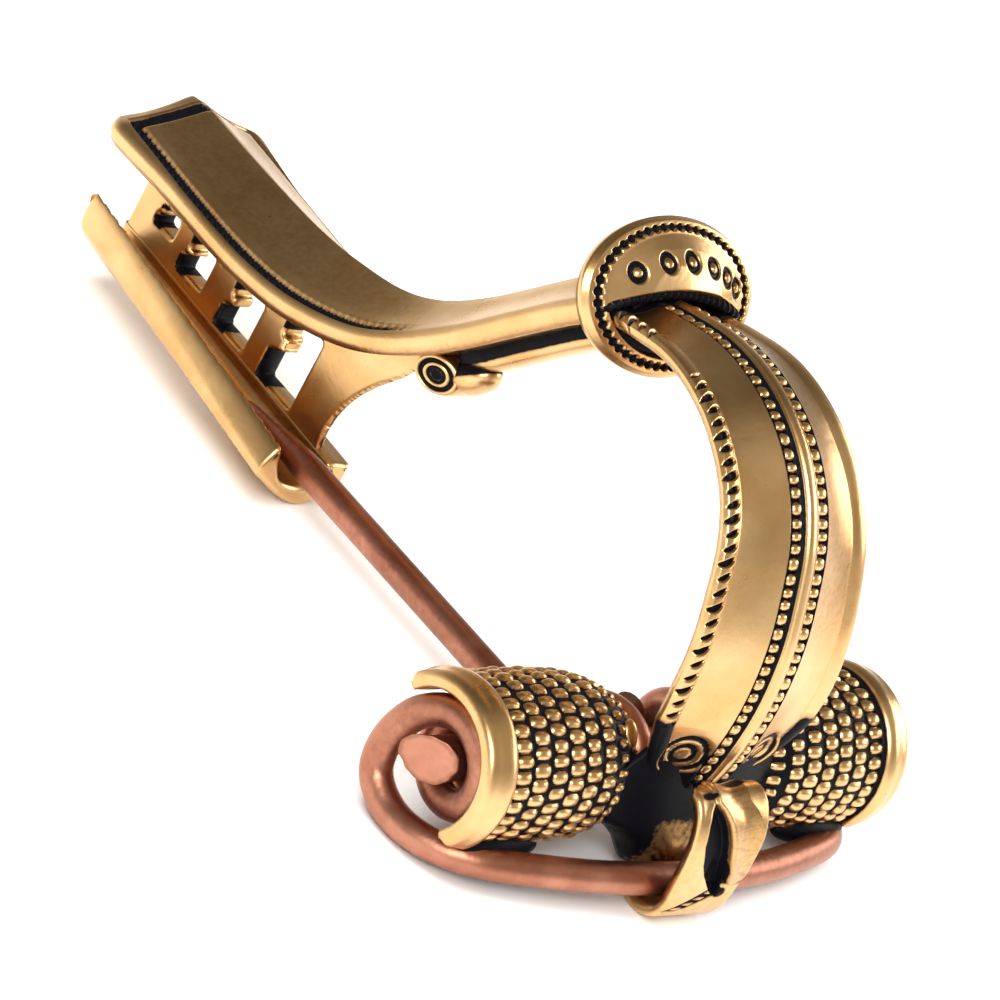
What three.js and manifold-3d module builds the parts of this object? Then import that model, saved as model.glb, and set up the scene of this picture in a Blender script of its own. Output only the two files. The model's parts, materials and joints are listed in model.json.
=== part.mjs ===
// Winged collar brooch (fibula): a cast brass bow with a collar, a keeled foot and an openwork catch,
// a copper spring under two granulated sleeves, an axle rod inside the spring, and a copper pin.
// Millimetres, +Z up. While it is modelled, the spring's axis is the Y axis, +X runs from the head to
// the foot, and the plane y = 0 halves the bow; at the end the group is set down on z = 0.
import * as THREE from 'three';
import { mergeVertices } from 'three/addons/utils/BufferGeometryUtils.js';
import Module from 'manifold-3d';

const wasm = await Module();
wasm.setup();

// ---- driving dimensions ----
const FOOT_END = 56.6;             // spring axis to the foot's end face
const WIRE = 2;                    // copper wire diameter
const GAP = 0.3;                   // clearance kept between separate pieces
const COIL_RADIUS = 2.75;          // spring axis to the wire's centre line
const COIL_PITCH = 2.55;           // from one turn to the next
const AXLE_RADIUS = 1.35;
const AXLE_ENDS = [-17.6, 19.2];
const PIN_Y = 2.85;                // the pin lies this far to the side of the bow plane
const PIN_TAPER_FROM = 30.5;       // spring axis to where the pin begins to taper
const PIN_REACH = 37.8;            // spring axis to the pin's point

const SLEEVE = {
    inner: 4.05,                   // bore over the spring
    mouth: 4.8,                    // outer radius where the rim begins
    belly: 4.95,                   // outer radius half-way along
    start: 4.6,                    // bow plane to the inner end
    rim: 16,                       // bow plane to the rim
    end: 18.3,                     // bow plane to the outer end
    from: 35,                      // degrees from +X towards +Z where the wall starts
    to: 221,                       // and where it ends, leaving the underside open
    rings: 7,                      // rings of granules
    grains: 10,                    // granules round each ring
    grainHeight: 0.3,
};

const BOW = {
    rib: [[-4.75, 0.2], [-5.35, 2.2], [-5.8, 5.6], [-5.75, 8.6], [-5.2, 11.8], [-4.2, 14.7], [-2.95, 17.4],
        [-1.2, 19.7], [1.05, 21.55], [3.5, 22.75], [6.6, 23.5], [9.5, 23.55], [12.2, 23.05], [14.6, 22.4]],
    halfWidth: [[0, 3.4], [0.045, 5.9], [0.08, 6.5], [0.13, 6.8], [0.225, 6.9], [0.354, 6.65], [0.538, 6.1],
        [0.723, 5.75], [0.862, 5.5], [0.935, 5.3], [1, 4.9]],
    stations: 21,
    roof: [[0, 1.5], [0.65, 1.7], [0.815, 1.35], [1, 1.2]],   // fall from the rib to the edge
    edge: 0.5,                     // thickness of the edge
    notches: 18,
    notchFrom: 0.165,
    notchTo: 0.76,
    circleAt: 0.106,               // share of the rib where the ring marks sit
    circleY: 3.3,
};

const COLLAR = { x: 15.5, z: 22.1, lean: 30, halfWidth: 7.4, halfHeight: 4.65, thickness: 2.3, dots: 16 };

const FOOT = {
    // x, z of the top of the side edge; half width; height of the ridge above the edge
    line: [[15.1, 22.3, 3.2, 1.3], [19.3, 18.9, 3, 1.7], [23.2, 15, 3, 1.7], [26.2, 11.9, 3.15, 1.8],
        [29.2, 9.3, 3.5, 2], [32.5, 7.3, 4.2, 2.4], [37.5, 5.9, 4.95, 2.7], [42, 5.55, 5.35, 2.6],
        [47, 5.7, 5.55, 2.4], [52, 6, 5.6, 2.2], [FOOT_END, 6.3, 5.55, 2]],
    stations: 16,
    edge: 1.6,
    grooveFrom: 0.4,
};

const CATCH = {
    thickness: 1.8,
    near: [
        [28, 7.6], [29.4, 5.6], [31, 3.6], [32.1, 1.8],
        [32.7, 0], [32.8, -1.6], [32.5, -2.8], [31.9, -3.8],
    ],
    farX: 56.2,
    // x, z of the lower head-side corner, width, height
    windows: [[36.4, -2.1, 3.7, 5.1], [42.2, -1.8, 3.1, 3.6], [47.7, -1.1, 2.7, 2.5], [51.9, 0, 2, 1.3]],
    troughNear: 31,
    troughFar: 56.4,
};

const HOOK = { inner: 1.3, outer: 2.15, y: 1.25, halfWidth: 2.7, tipX: -7.1, tipZ: 2.9, slotY: 0.75 };
const CHORD = { x: -7.25, z: -3.65 };

// ---- helpers: sections, lofts and solids ----
const radians = THREE.MathUtils.degToRad;

/** Value at t of a row of [t, value] pairs, straight between them. */
function along(table, t) {
    const next = Math.max(1, table.findIndex(([at]) => at >= t));
    const [t0, v0] = table[next - 1];
    const [t1, v1] = table[next];
    return THREE.MathUtils.lerp(v0, v1, THREE.MathUtils.clamp((t - t0) / (t1 - t0), 0, 1));
}

/** Mirrors a half outline [u >= 0] from its top centre to its bottom centre into a whole one. */
function mirrored(half) {
    const back = half.filter(([u]) => u > 0).reverse().map(([u, v]) => [-u, v]);
    return [...half, ...back];
}

/** A closed mesh through outlines of equal point count: outlineAt(i) in 2D, placed by place(i, u, v). */
function loft(count, outlineAt, place) {
    const positions = [];
    const faces = [];
    let size = 0;
    for (let i = 0; i < count; i++) {
        const outline = outlineAt(i);
        size = outline.length;
        for (const [u, v] of outline) positions.push(...place(i, u, v).toArray());
    }
    for (let i = 0; i < count - 1; i++) {
        for (let j = 0; j < size; j++) {
            const a = i * size + j;
            const b = i * size + (j + 1) % size;
            faces.push(a, b, b + size, a, b + size, a + size);
        }
    }
    for (const i of [0, count - 1]) {
        const contour = outlineAt(i).map(([u, v]) => new THREE.Vector2(u, v));
        const turning = Math.sign(THREE.ShapeUtils.area(contour));
        for (const [a, b, c] of THREE.ShapeUtils.triangulateShape(contour, [])) {
            const sameWay = Math.sign(THREE.ShapeUtils.area([a, b, c].map((k) => contour[k]))) === turning;
            const cap = (sameWay ? [a, b, c] : [a, c, b]).map((k) => i * size + k);
            faces.push(...(i === 0 ? cap.reverse() : cap));
        }
    }
    return closedGeometry(positions, faces);
}

function closedGeometry(positions, faces) {
    const geometry = new THREE.BufferGeometry();
    geometry.setAttribute('position', new THREE.Float32BufferAttribute(positions, 3));
    geometry.setIndex(faces);
    return geometry;
}

/** Turns a closed geometry into a solid, with its faces outwards whichever way it was wound. */
function solid(geometry) {
    const bare = geometry.clone();
    bare.deleteAttribute('normal');
    bare.deleteAttribute('uv');
    const merged = mergeVertices(bare, 1e-4);
    const vertProperties = new Float32Array(merged.attributes.position.array);
    const triVerts = new Uint32Array(merged.index.array);
    if (signedVolume(vertProperties, triVerts) < 0) triVerts.reverse();
    return new wasm.Manifold(new wasm.Mesh({ numProp: 3, vertProperties, triVerts }));
}

function signedVolume(points, triangles) {
    const corner = (k) => new THREE.Vector3().fromArray(points, 3 * triangles[k]);
    let sum = 0;
    for (let k = 0; k < triangles.length; k += 3) sum += corner(k).dot(corner(k + 1).cross(corner(k + 2)));
    return sum;
}

function fromSolid(body) {
    const mesh = body.getMesh();
    return closedGeometry(Array.from(mesh.vertProperties), Array.from(mesh.triVerts));
}

const joined = (solids) => solids.reduce((sum, next) => sum.add(next));
const cutBy = (body, tools) => tools.reduce((left, tool) => left.subtract(tool), body);

/** A smooth path in the bow plane with its tangent and outward normal at t. */
function planePath(points) {
    const curve = new THREE.CatmullRomCurve3(points.map(([x, z]) => new THREE.Vector3(x, 0, z)));
    return (t) => {
        const at = curve.getPoint(t);
        const run = curve.getTangent(t);
        return { at, run, out: new THREE.Vector3(-run.z, 0, run.x) };
    };
}

/** Places [u, v] of a section across a plane path: u along Y, v along the outward normal. */
const across = ({ at, out }, u, v) => new THREE.Vector3(at.x + out.x * v, u, at.z + out.z * v);

// ---- casting: bow ----
const bowPath = planePath(BOW.rib);

/** Half section of the bow: round rib, sunk bead row, sloping facet, raised border, thin edge. */
function bowOutline(t) {
    const w = along(BOW.halfWidth, t);
    const fall = along(BOW.roof, t) * Math.min(1, w / 5);
    return mirrored([
        [0, 0], [0.42, -0.1], [0.68, -0.55], [1.75, -0.75], [2, -0.5],
        [w - 1.15, -fall * 0.82], [w - 0.85, -fall * 0.72], [w - 0.2, -fall * 0.86],
        [w, -fall], [w - 0.1, -fall - BOW.edge], [0, -2.1],
    ]);
}

function bow() {
    const last = BOW.stations - 1;
    const place = (i, u, v) => across(bowPath(i / last), u, v);
    return solid(loft(BOW.stations, (i) => bowOutline(i / last), place));
}

/** A row of slanted gouges along both borders of the bow. */
function bowNotches() {
    const tools = [];
    for (const side of [-1, 1]) {
        for (let k = 0; k < BOW.notches; k++) {
            const t = THREE.MathUtils.lerp(BOW.notchFrom, BOW.notchTo, k / (BOW.notches - 1));
            const w = along(BOW.halfWidth, t);
            const place = bowPath(t);
            const gouge = new THREE.OctahedronGeometry(1).scale(0.8, 0.32, 0.5);
            const basis = new THREE.Matrix4();
            basis.makeBasis(new THREE.Vector3(0, side, 0), place.run, place.out);
            const centre = across(place, side * (w - 0.75), -along(BOW.roof, t) * 0.72);
            gouge.applyMatrix4(basis.setPosition(centre));
            tools.push(solid(gouge));
        }
    }
    return tools;
}

/** Two concentric circles punched on each facet at the bow's lower end. */
function bowCircles() {
    const tools = [];
    for (const side of [-1, 1]) {
        const place = bowPath(BOW.circleAt);
        for (const radius of [0.7, 1.3]) {
            const groove = new THREE.TorusGeometry(radius, 0.18, 3, 8);
            const face = new THREE.Vector3(0, side * 0.24, 0).add(place.out).normalize();
            const turn = new THREE.Quaternion().setFromUnitVectors(new THREE.Vector3(0, 0, 1), face);
            groove.applyQuaternion(turn);
            const spot = across(place, side * BOW.circleY, -0.86);
            groove.translate(spot.x, spot.y, spot.z);
            tools.push(solid(groove));
        }
    }
    return tools;
}

// ---- casting: collar ----
const collarPlace = new THREE.Matrix4().makeBasis(
    new THREE.Vector3(Math.sin(radians(COLLAR.lean)), 0, Math.cos(radians(COLLAR.lean))),
    new THREE.Vector3(-Math.cos(radians(COLLAR.lean)), 0, Math.sin(radians(COLLAR.lean))),
    new THREE.Vector3(0, 1, 0),
).setPosition(COLLAR.x, 0, COLLAR.z);

/** An oval disc domed towards the head, with a rounded rim; its axis is the local +Y. */
function collar() {
    const profile = [[0, -0.5], [0.8, -0.6], [0.96, -0.35], [1, 0.1], [0.97, 0.55], [0.88, 0.75],
        [0.8, 0.85],
        [0.6, 1.4], [0.4, 1.9], [0, COLLAR.thickness]];
    const dome = new THREE.LatheGeometry(profile.map(([r, h]) => new THREE.Vector2(r, h)), 22);
    dome.scale(COLLAR.halfHeight, 1, COLLAR.halfWidth);
    return solid(dome.applyMatrix4(collarPlace));
}

/** Dots punched round the collar's rim, and the hollow of its lower half under the bow. */
function collarTools() {
    const tools = [];
    for (let k = 0; k < COLLAR.dots; k++) {
        const turn = 2 * Math.PI * k / COLLAR.dots;
        const dot = new THREE.OctahedronGeometry(0.36);
        const ring = [0.87 * COLLAR.halfHeight * Math.cos(turn), 0.87 * COLLAR.halfWidth * Math.sin(turn)];
        dot.translate(ring[0], 0.85, ring[1]);
        tools.push(solid(dot.applyMatrix4(collarPlace)));
    }
    const hollow = new THREE.SphereGeometry(1, 14, 8).scale(1.5, 1.7, 4.6).translate(-2.3, 1.9, 0);
    tools.push(solid(hollow.applyMatrix4(collarPlace)));
    return tools;
}

// ---- casting: foot ----
const footEdge = new THREE.CatmullRomCurve3(FOOT.line.map(([x, z]) => new THREE.Vector3(x, 0, z)));
const footSizes = new THREE.CatmullRomCurve3(
    FOOT.line.map(([, , w, ridge]) => new THREE.Vector3(w, ridge, 0)));
const footEndDepth = 1.1;

/** Half section of the foot: ridge, facet, bead groove inside a flat border, thick edge. */
function footOutline(t) {
    const { x: w, y: ridge } = footSizes.getPoint(t);
    const groove = 0.3 * THREE.MathUtils.smoothstep(t, FOOT.grooveFrom, FOOT.grooveFrom + 0.1);
    const bevel = t === 1 ? 0.25 : 0;
    return mirrored([
        [0, ridge - bevel], [0.35, ridge * 0.93 - bevel], [w - 1.3, 0.42 - bevel],
        [w - 1.15, 0.38 - groove],
        [w - 0.85, 0.26 - groove], [w - 0.7, 0.22], [w - 0.15, 0.1 - bevel / 2], [w, -0.1],
        [w, -FOOT.edge + 0.2],
        [w - 0.25, -FOOT.edge], [0, -FOOT.edge],
    ]);
}

function foot() {
    const last = FOOT.stations - 1;
    const place = (i, u, v) => {
        const run = footEdge.getTangent(i / last);
        return across({ at: footEdge.getPoint(i / last), out: new THREE.Vector3(-run.z, 0, run.x) }, u, v);
    };
    return solid(loft(FOOT.stations, (i) => footOutline(i / last), place));
}

/** The bead groove's short leg across the foot's end, over both facets. */
function footEndGroove() {
    const { x: w, y: ridge } = footSizes.getPoint(0.985);
    const outline = () => mirrored([[0, ridge + 0.3], [w - 0.85, 0.6], [w - 0.85, -0.05],
        [0, ridge - 0.35]]);
    const x = FOOT_END - footEndDepth;
    const place = (i, u, v) => new THREE.Vector3(x - 0.25 + 0.5 * i, u, footEdge.getPoint(0.985).z + v);
    return solid(loft(2, outline, place));
}

/** The narrow rib under the neck of the foot, ending in a round knob. */
function underRib() {
    const neck = [0.02, 0.12, 0.22, 0.32];
    const place = (i, u, v) => {
        const t = neck[i];
        const run = footEdge.getTangent(t);
        return across({ at: footEdge.getPoint(t), out: new THREE.Vector3(-run.z, 0, run.x) }, u, v);
    };
    const outline = () => mirrored([[0, -1], [1.3, -1], [1.3, -2.5], [0.9, -3], [0, -3]]);
    const knob = new THREE.CylinderGeometry(1.15, 1.15, 3.7, 12).translate(26.3, 0, 8.1);
    const heel = new THREE.SphereGeometry(1, 10, 6).scale(2.3, 1.5, 1.3);
    heel.rotateY(radians(42)).translate(25.3, 0, 8.8);
    return joined([solid(loft(neck.length, outline, place)), solid(knob), solid(heel)]);
}

/** A ring groove on each face of the knob. */
function knobCircles() {
    return [-1, 1].map((side) => {
        const groove = new THREE.TorusGeometry(0.62, 0.16, 3, 10).rotateX(Math.PI / 2);
        return solid(groove.translate(26.3, side * 1.85, 8.1));
    });
}

// ---- casting: catch ----
/** A flat outline in x and z, as a solid plate of a thickness about the bow plane. */
function slab(outline, thickness) {
    const place = (i, x, z) => new THREE.Vector3(x, (i - 0.5) * thickness, z);
    return solid(loft(2, () => outline, place));
}

/** A window through the plate, with a stepped tooth on its far side. */
function catchWindow([x, z, width, height]) {
    const far = x + width;
    const tooth = 0.28 * width;
    return slab([
        [x, z], [far, z], [far, z + 0.36 * height], [far - tooth, z + 0.44 * height],
        [far - tooth, z + 0.68 * height], [far - tooth / 2, z + 0.74 * height],
        [far - tooth / 2, z + height],
        [x, z + height],
    ], 2 * CATCH.thickness);
}

function catchPlate() {
    const edge = new THREE.SplineCurve(CATCH.near.map(([x, z]) => new THREE.Vector2(x, z)));
    const plate = slab([
        ...edge.getPoints(14).map(({ x, y }) => [x, y]),
        [CATCH.farX, -2.6], [CATCH.farX, 5.4], [42, 4.6], [33.5, 6.2],
    ], CATCH.thickness);
    return cutBy(plate, CATCH.windows.map(catchWindow));
}

/** The J-shaped trough that holds the pin, tapering and rising towards the foot's end. */
function trough() {
    const near = [[-0.9, -2.6], [-0.8, -4.2], [0.3, -5.3], [1.9, -5.8], [3.9, -5.15],
        [5.6, -4.15], [6.75, -3.3],
        [6.4, -2.2], [5.7, -1.4], [5, -2.9], [4.4, -3.8], [3, -4.35], [1.6, -4.2], [0.9, -3.4],
        [0.9, -2.6]];
    const far = [[-0.9, -1.6], [-0.8, -2.8], [0.1, -3.5], [1.4, -3.95], [2.9, -3.6], [4, -2.8], [4.6, -2],
        [4.7, -0.7], [4.4, 0.35], [3.9, -1.1], [3.5, -2], [2.7, -2.6], [1.6, -2.65], [0.9, -2.2],
        [0.9, -1.6]];
    const x = [CATCH.troughNear, CATCH.troughNear + 0.9, CATCH.troughFar];
    const blend = (i) => (x[i] - x[0]) / (x[2] - x[0]);
    const outline = (i) => near.map(([y, z], k) => [
        THREE.MathUtils.lerp(y, far[k][0], blend(i)),
        THREE.MathUtils.lerp(z, far[k][1], blend(i)),
    ]);
    const slant = (i, y) => 0.4 * Math.max(0, 1.5 - y) * (1 - blend(i));
    return solid(loft(3, outline, (i, y, z) => new THREE.Vector3(x[i] + slant(i, y), y, z)));
}

// ---- casting: head ----
/** Outer radius of a sleeve at a distance from the bow plane: a barrel with a shoulder. */
function sleeveRadius(y) {
    const shape = [[SLEEVE.start, 3.5], [6, 4.3], [7.6, 4.8], [10, SLEEVE.belly], [13, SLEEVE.belly],
        [SLEEVE.rim, SLEEVE.mouth]];
    return along(shape, y);
}

/** A sleeve's wall section at one angle, in [distance from the bow plane, radius]. */
function sleeveOutline(step) {
    const outline = [[SLEEVE.start, SLEEVE.inner - 1.2]];
    const pitch = (SLEEVE.rim - SLEEVE.start) / SLEEVE.rings;
    for (let ring = 0; ring < SLEEVE.rings; ring++) {
        const low = SLEEVE.start + ring * pitch;
        const middle = low + pitch / 2;
        const raised = (step + ring) % 2 === 0 ? SLEEVE.grainHeight : 0;
        outline.push([low, sleeveRadius(low)], [middle, sleeveRadius(middle) + raised]);
    }
    const { rim, end, mouth, inner } = SLEEVE;
    outline.push([rim, mouth - 0.05], [rim + 0.35, mouth + 0.4], [rim + 1, mouth + 0.45],
        [end - 0.4, mouth], [end, mouth - 0.4], [end - 0.1, inner]);
    outline.push([SLEEVE.start + 2, inner]);
    return outline;
}

function sleeve(side) {
    const count = 2 * SLEEVE.grains + 1;
    const place = (i, y, r) => {
        const turn = radians(THREE.MathUtils.lerp(SLEEVE.from, SLEEVE.to, i / (count - 1)));
        return new THREE.Vector3(r * Math.cos(turn), side * y, r * Math.sin(turn));
    };
    return solid(loft(count, sleeveOutline, place));
}

/** The plate in front of the spring that joins bow, sleeves and hook; it narrows in a curve downwards. */
function column() {
    const levels = [[-4.9, 2.4, -5.9], [-4.2, 3.1, -5.95], [-3.2, 4.1, -5.9], [-2.2, 5.6, -5.6],
        [-1.2, 7.4, -5.1],
        [0.5, 7.2, -4.8], [2.2, 6.2, -4.6], [3.6, 5, -4.5]];
    const back = -3.5;
    const outline = (i) => {
        const [, half, front] = levels[i];
        return mirrored([[0, back], [half, back], [half, THREE.MathUtils.lerp(back, front, 0.4)],
            [half * 0.5, front + 0.2], [0, front]]);
    };
    return solid(loft(levels.length, outline, (i, y, x) => new THREE.Vector3(x, y, levels[i][0])));
}

/** The hook that holds the spring's chord: from the column, under the chord and up in front of it. */
function hook() {
    const middle = (HOOK.inner + HOOK.outer) / 2;
    const half = (HOOK.outer - HOOK.inner) / 2;
    const stations = [];
    for (let degrees = 20; degrees >= -170; degrees -= 27) {
        const turn = radians(degrees);
        const out = new THREE.Vector3(Math.cos(turn), 0, Math.sin(turn));
        const at = new THREE.Vector3(CHORD.x, HOOK.y, CHORD.z).addScaledVector(out, middle);
        stations.push({ at, out, half, width: HOOK.halfWidth - (degrees > -30 ? 0.4 : 0) });
    }
    const front = stations.at(-1).at;
    for (const rise of [0.3, 0.6, 0.85, 1]) {
        const x = THREE.MathUtils.lerp(front.x, HOOK.tipX, rise ** 1.5);
        const at = new THREE.Vector3(x, HOOK.y, THREE.MathUtils.lerp(front.z, HOOK.tipZ, rise));
        const out = new THREE.Vector3(-1, 0, -0.2);
        stations.push({ at, out, half: half + 0.25, width: HOOK.halfWidth + 0.1 * rise });
    }
    const outline = (i) => {
        const { half: h, width: w } = stations[i];
        return mirrored([[0, h], [w - 0.4, h], [w, h * 0.3], [w, -h], [0, -h]]);
    };
    return solid(loft(stations.length, outline, (i, u, v) => across(stations[i], u, v)));
}

/** The tapering slot sunk in the hook's front. */
function hookSlot() {
    const sides = [[-10.5, -4.4, 0.9], [-8.6, 1.9, 0.45]];
    const outline = (i) => {
        const [front, , half] = sides[i];
        const [outer, inner] = [front - 0.8, front + 1.9];
        return [[outer, -half], [outer, half], [inner, half * 0.5], [inner, -half * 0.5]];
    };
    return solid(loft(2, outline, (i, x, y) => new THREE.Vector3(x, y + HOOK.y + HOOK.slotY, sides[i][1])));
}

/** A lug between each sleeve's lower edge and the chord. */
function lug(side) {
    const lump = new THREE.SphereGeometry(1, 10, 6).scale(0.95, 3.1, 0.95).rotateX(side * 0.08);
    return solid(lump.translate(-3.75, side * 12.9, -3.5));
}

// ---- spring, pin and axle ----
const LAST_TURN = radians(70);     // angle at which the wire leaves the coil for the chord
const PIN_TURNS = 5 + 0.75 - LAST_TURN / (2 * Math.PI);   // turns from the pin to the end of the coil
const LAST_Y = PIN_Y + COIL_PITCH * PIN_TURNS;            // bow plane to the end of the coil
const PIN_LOOP = 0.9;              // share of a turn that belongs to the pin
const RIGHT_TURNS = 6.9;
const STEPS_PER_TURN = 9;
const seam = (GAP + 0.45 * WIRE) / (2 * Math.PI * COIL_RADIUS);   // the two cut ends lean together inside

/** Points of the coil on one side, given as turns still to go before its outer end. */
function coilPoints(fromTurns, toTurns, side) {
    const count = Math.ceil(Math.abs(fromTurns - toTurns) * STEPS_PER_TURN);
    return Array.from({ length: count + 1 }, (_, k) => {
        const turns = THREE.MathUtils.lerp(fromTurns, toTurns, k / count);
        const angle = LAST_TURN + 2 * Math.PI * turns;
        const y = side * (LAST_Y - COIL_PITCH * turns);
        return new THREE.Vector3(COIL_RADIUS * Math.cos(angle), y, COIL_RADIUS * Math.sin(angle));
    });
}

/** From the last turn the wire swings out of the sleeve's open side and runs to the chord's middle. */
const chordPoints = (side) => [
    [2.8, 17.4, 1.1], [3.65, 17.7, -1.4], [3.2, 17.8, -3.5], [1.2, 17.7, -4.65], [-1.6, 17.3, -4.6],
    [-4, 15.5, -4.2], [-5.8, 11, -3.85], [-6.9, 5.5, -3.7],
].map(([x, y, z]) => new THREE.Vector3(x, side * y, z));

/** The route of the spring: left coil outwards, across the chord, right coil inwards. */
function springRoute() {
    return new THREE.CatmullRomCurve3([
        ...coilPoints(PIN_TURNS - PIN_LOOP - seam, 0, 1), ...chordPoints(1),
        new THREE.Vector3(CHORD.x, 0, CHORD.z),
        ...chordPoints(-1).reverse(), ...coilPoints(0, RIGHT_TURNS, -1),
    ]);
}

/** A round wire along a curve, closed at both ends. */
function wire(curve, step, radius, sides) {
    curve.arcLengthDivisions = 3000;
    const section = new THREE.Shape();
    for (let k = 0; k < sides; k++) {
        const turn = 2 * Math.PI * (k + 0.5) / sides;
        section[k ? 'lineTo' : 'moveTo'](radius * Math.cos(turn), radius * Math.sin(turn));
    }
    const steps = Math.ceil(curve.getLength() / step);
    return solid(new THREE.ExtrudeGeometry(section, { steps, extrudePath: curve, bevelEnabled: false }));
}

const WIRE_SIDES = 5;
const wireStep = 2 * Math.PI * COIL_RADIUS / STEPS_PER_TURN;
const spring = () => wire(springRoute(), wireStep, WIRE / 2, WIRE_SIDES);

/** The pin: its own loop round the axle, a straight shaft and a tapered point. */
function pin() {
    const loop = new THREE.CatmullRomCurve3(coilPoints(PIN_TURNS - PIN_LOOP, PIN_TURNS, 1));
    const sides = 8;
    const straight = PIN_TAPER_FROM + 0.25;
    const shaft = new THREE.CylinderGeometry(WIRE / 2, WIRE / 2, straight, sides);
    shaft.translate(0, straight / 2 - 0.25, 0);
    const taper = PIN_REACH - PIN_TAPER_FROM;
    const point = new THREE.CylinderGeometry(WIRE / 8, WIRE / 2, taper + 0.02, sides);
    point.translate(0, PIN_TAPER_FROM + taper / 2 - 0.01, 0);
    const lay = (geometry) => solid(geometry.rotateZ(-Math.PI / 2).translate(0, PIN_Y, -COIL_RADIUS));
    return joined([wire(loop, wireStep, WIRE / 2, 6), lay(shaft), lay(point)]);
}

/** The rod inside the spring, cut off roughly at its left end. */
function axle() {
    const [right, left] = AXLE_ENDS;
    const rod = new THREE.CylinderGeometry(AXLE_RADIUS, AXLE_RADIUS, left - right, 10);
    return solid(rod.translate(0, (left + right) / 2, 0));
}

/** Room for the spring: the bore of both sleeves, and a channel round the wire's outer run. */
function springRoom() {
    const bore = new THREE.CylinderGeometry(SLEEVE.inner, SLEEVE.inner, 2 * SLEEVE.end + 2, 20);
    const run = new THREE.CatmullRomCurve3([
        ...coilPoints(0.15, 0, 1), ...chordPoints(1), new THREE.Vector3(CHORD.x, 0, CHORD.z),
        ...chordPoints(-1).reverse(), ...coilPoints(0, 0.15, -1),
    ]);
    return [solid(bore), wire(run, 2.6, WIRE / 2 + GAP + 0.1, 7)];
}

// ---- assembly ----
function casting() {
    const body = joined([
        bow(), collar(), foot(), underRib(), catchPlate(), trough(), column(), hook(),
        sleeve(1), sleeve(-1), lug(1), lug(-1),
    ]);
    return cutBy(body, [
        ...springRoom(), ...bowNotches(), ...bowCircles(), ...collarTools(), ...knobCircles(),
        footEndGroove(), hookSlot(),
    ]);
}

const brass = new THREE.MeshStandardMaterial({ color: 0xc49a4e, roughness: 0.32, metalness: 1 });
const copper = new THREE.MeshStandardMaterial({ color: 0xb06a45, roughness: 0.38, metalness: 1 });

function piece(name, body, material) {
    const mesh = new THREE.Mesh(fromSolid(body), material);
    mesh.name = name;
    return mesh;
}

const brooch = new THREE.Group();
brooch.add(
    piece('casting', casting(), brass),
    piece('spring', spring(), copper),
    piece('axle', axle(), copper),
    piece('pin', pin(), copper),
);
// The brooch lies on z = 0, centred on the origin.
const extent = new THREE.Box3().setFromObject(brooch);
const centre = extent.getCenter(new THREE.Vector3());
brooch.position.set(-centre.x, -centre.y, -extent.min.z);

export default brooch;
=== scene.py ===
"""Dresses the collar brooch: a patinated bronze casting with relief, copper wire spring, axle and pin."""

import json

import bpy
import numpy as np
from mathutils import Matrix, Vector


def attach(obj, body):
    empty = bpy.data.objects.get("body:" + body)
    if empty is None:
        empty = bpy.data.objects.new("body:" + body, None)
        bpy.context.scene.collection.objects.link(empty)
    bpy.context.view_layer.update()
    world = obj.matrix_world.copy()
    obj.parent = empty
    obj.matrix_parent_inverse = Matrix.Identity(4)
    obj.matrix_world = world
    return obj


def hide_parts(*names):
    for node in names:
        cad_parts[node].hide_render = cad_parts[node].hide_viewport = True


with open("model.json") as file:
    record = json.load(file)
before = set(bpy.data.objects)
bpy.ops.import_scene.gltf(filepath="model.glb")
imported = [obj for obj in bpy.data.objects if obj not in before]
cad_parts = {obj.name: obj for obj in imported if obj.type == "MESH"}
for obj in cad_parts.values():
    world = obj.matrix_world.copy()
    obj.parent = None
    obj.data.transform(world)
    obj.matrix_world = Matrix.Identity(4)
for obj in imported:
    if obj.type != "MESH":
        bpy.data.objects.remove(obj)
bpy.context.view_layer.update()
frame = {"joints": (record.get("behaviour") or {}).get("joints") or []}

# ---- sizes, in millimetres from the spring's axis (X to the foot, Y to the catch's open side, Z up) ----
MM = 0.001
PIN_Y = 2.85
HINGE = frame["joints"][0]["pos_m"]
AXIS = np.array([HINGE[0], HINGE[1] - PIN_Y * MM, HINGE[2]])

# Bow: its rib as (x, z), then rows of (share of its length, value); distances across run from its middle.
RIB = [(-4.75, 0.2), (-5.35, 2.2), (-5.8, 5.6), (-5.75, 8.6), (-5.2, 11.8), (-4.2, 14.7), (-2.95, 17.4),
       (-1.2, 19.7), (1.05, 21.55), (3.5, 22.75), (6.6, 23.5), (9.5, 23.55), (12.2, 23.05), (14.8, 22.4)]
BOW_HALF_WIDTH = [(0, 2.6), (0.035, 3.9), (0.077, 5.1), (0.1, 5.6), (0.125, 6.15), (0.155, 6.7), (0.225, 6.9),
                  (0.354, 6.65), (0.538, 6.1), (0.723, 5.75), (0.862, 5.5), (0.935, 5.4), (1, 5.2)]
BOW_FALL = [(0, 1.5), (0.65, 1.7), (0.815, 1.35), (1, 1.2)]
BOW_EDGE = 0.5
BOW_BACK = 2.1
BOW_BORDER = 1.3
BOW_SHOULDER = 0.38
BOW_BORDER_DROP = 0.82
BOW_NOTCH = dict(pitch=0.92, first=0.165, last=0.765, root=0.88, root_end=0.985, step=0.01,
                 half_length=0.58, half_width=0.29, inset=0.64, slant=0.3, depth=0.34)
BOW_CHANNEL = (0.62, 1.6)
BOW_BEAD = dict(pitch=0.84, half_length=0.385, half_width=0.47, bed=0.6, height=0.38, squareness=2.8)
BOW_CIRCLE = dict(y=3.25, up=3.35, rings=(0.72, 1.42), line=0.19, depth=0.14)

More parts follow.
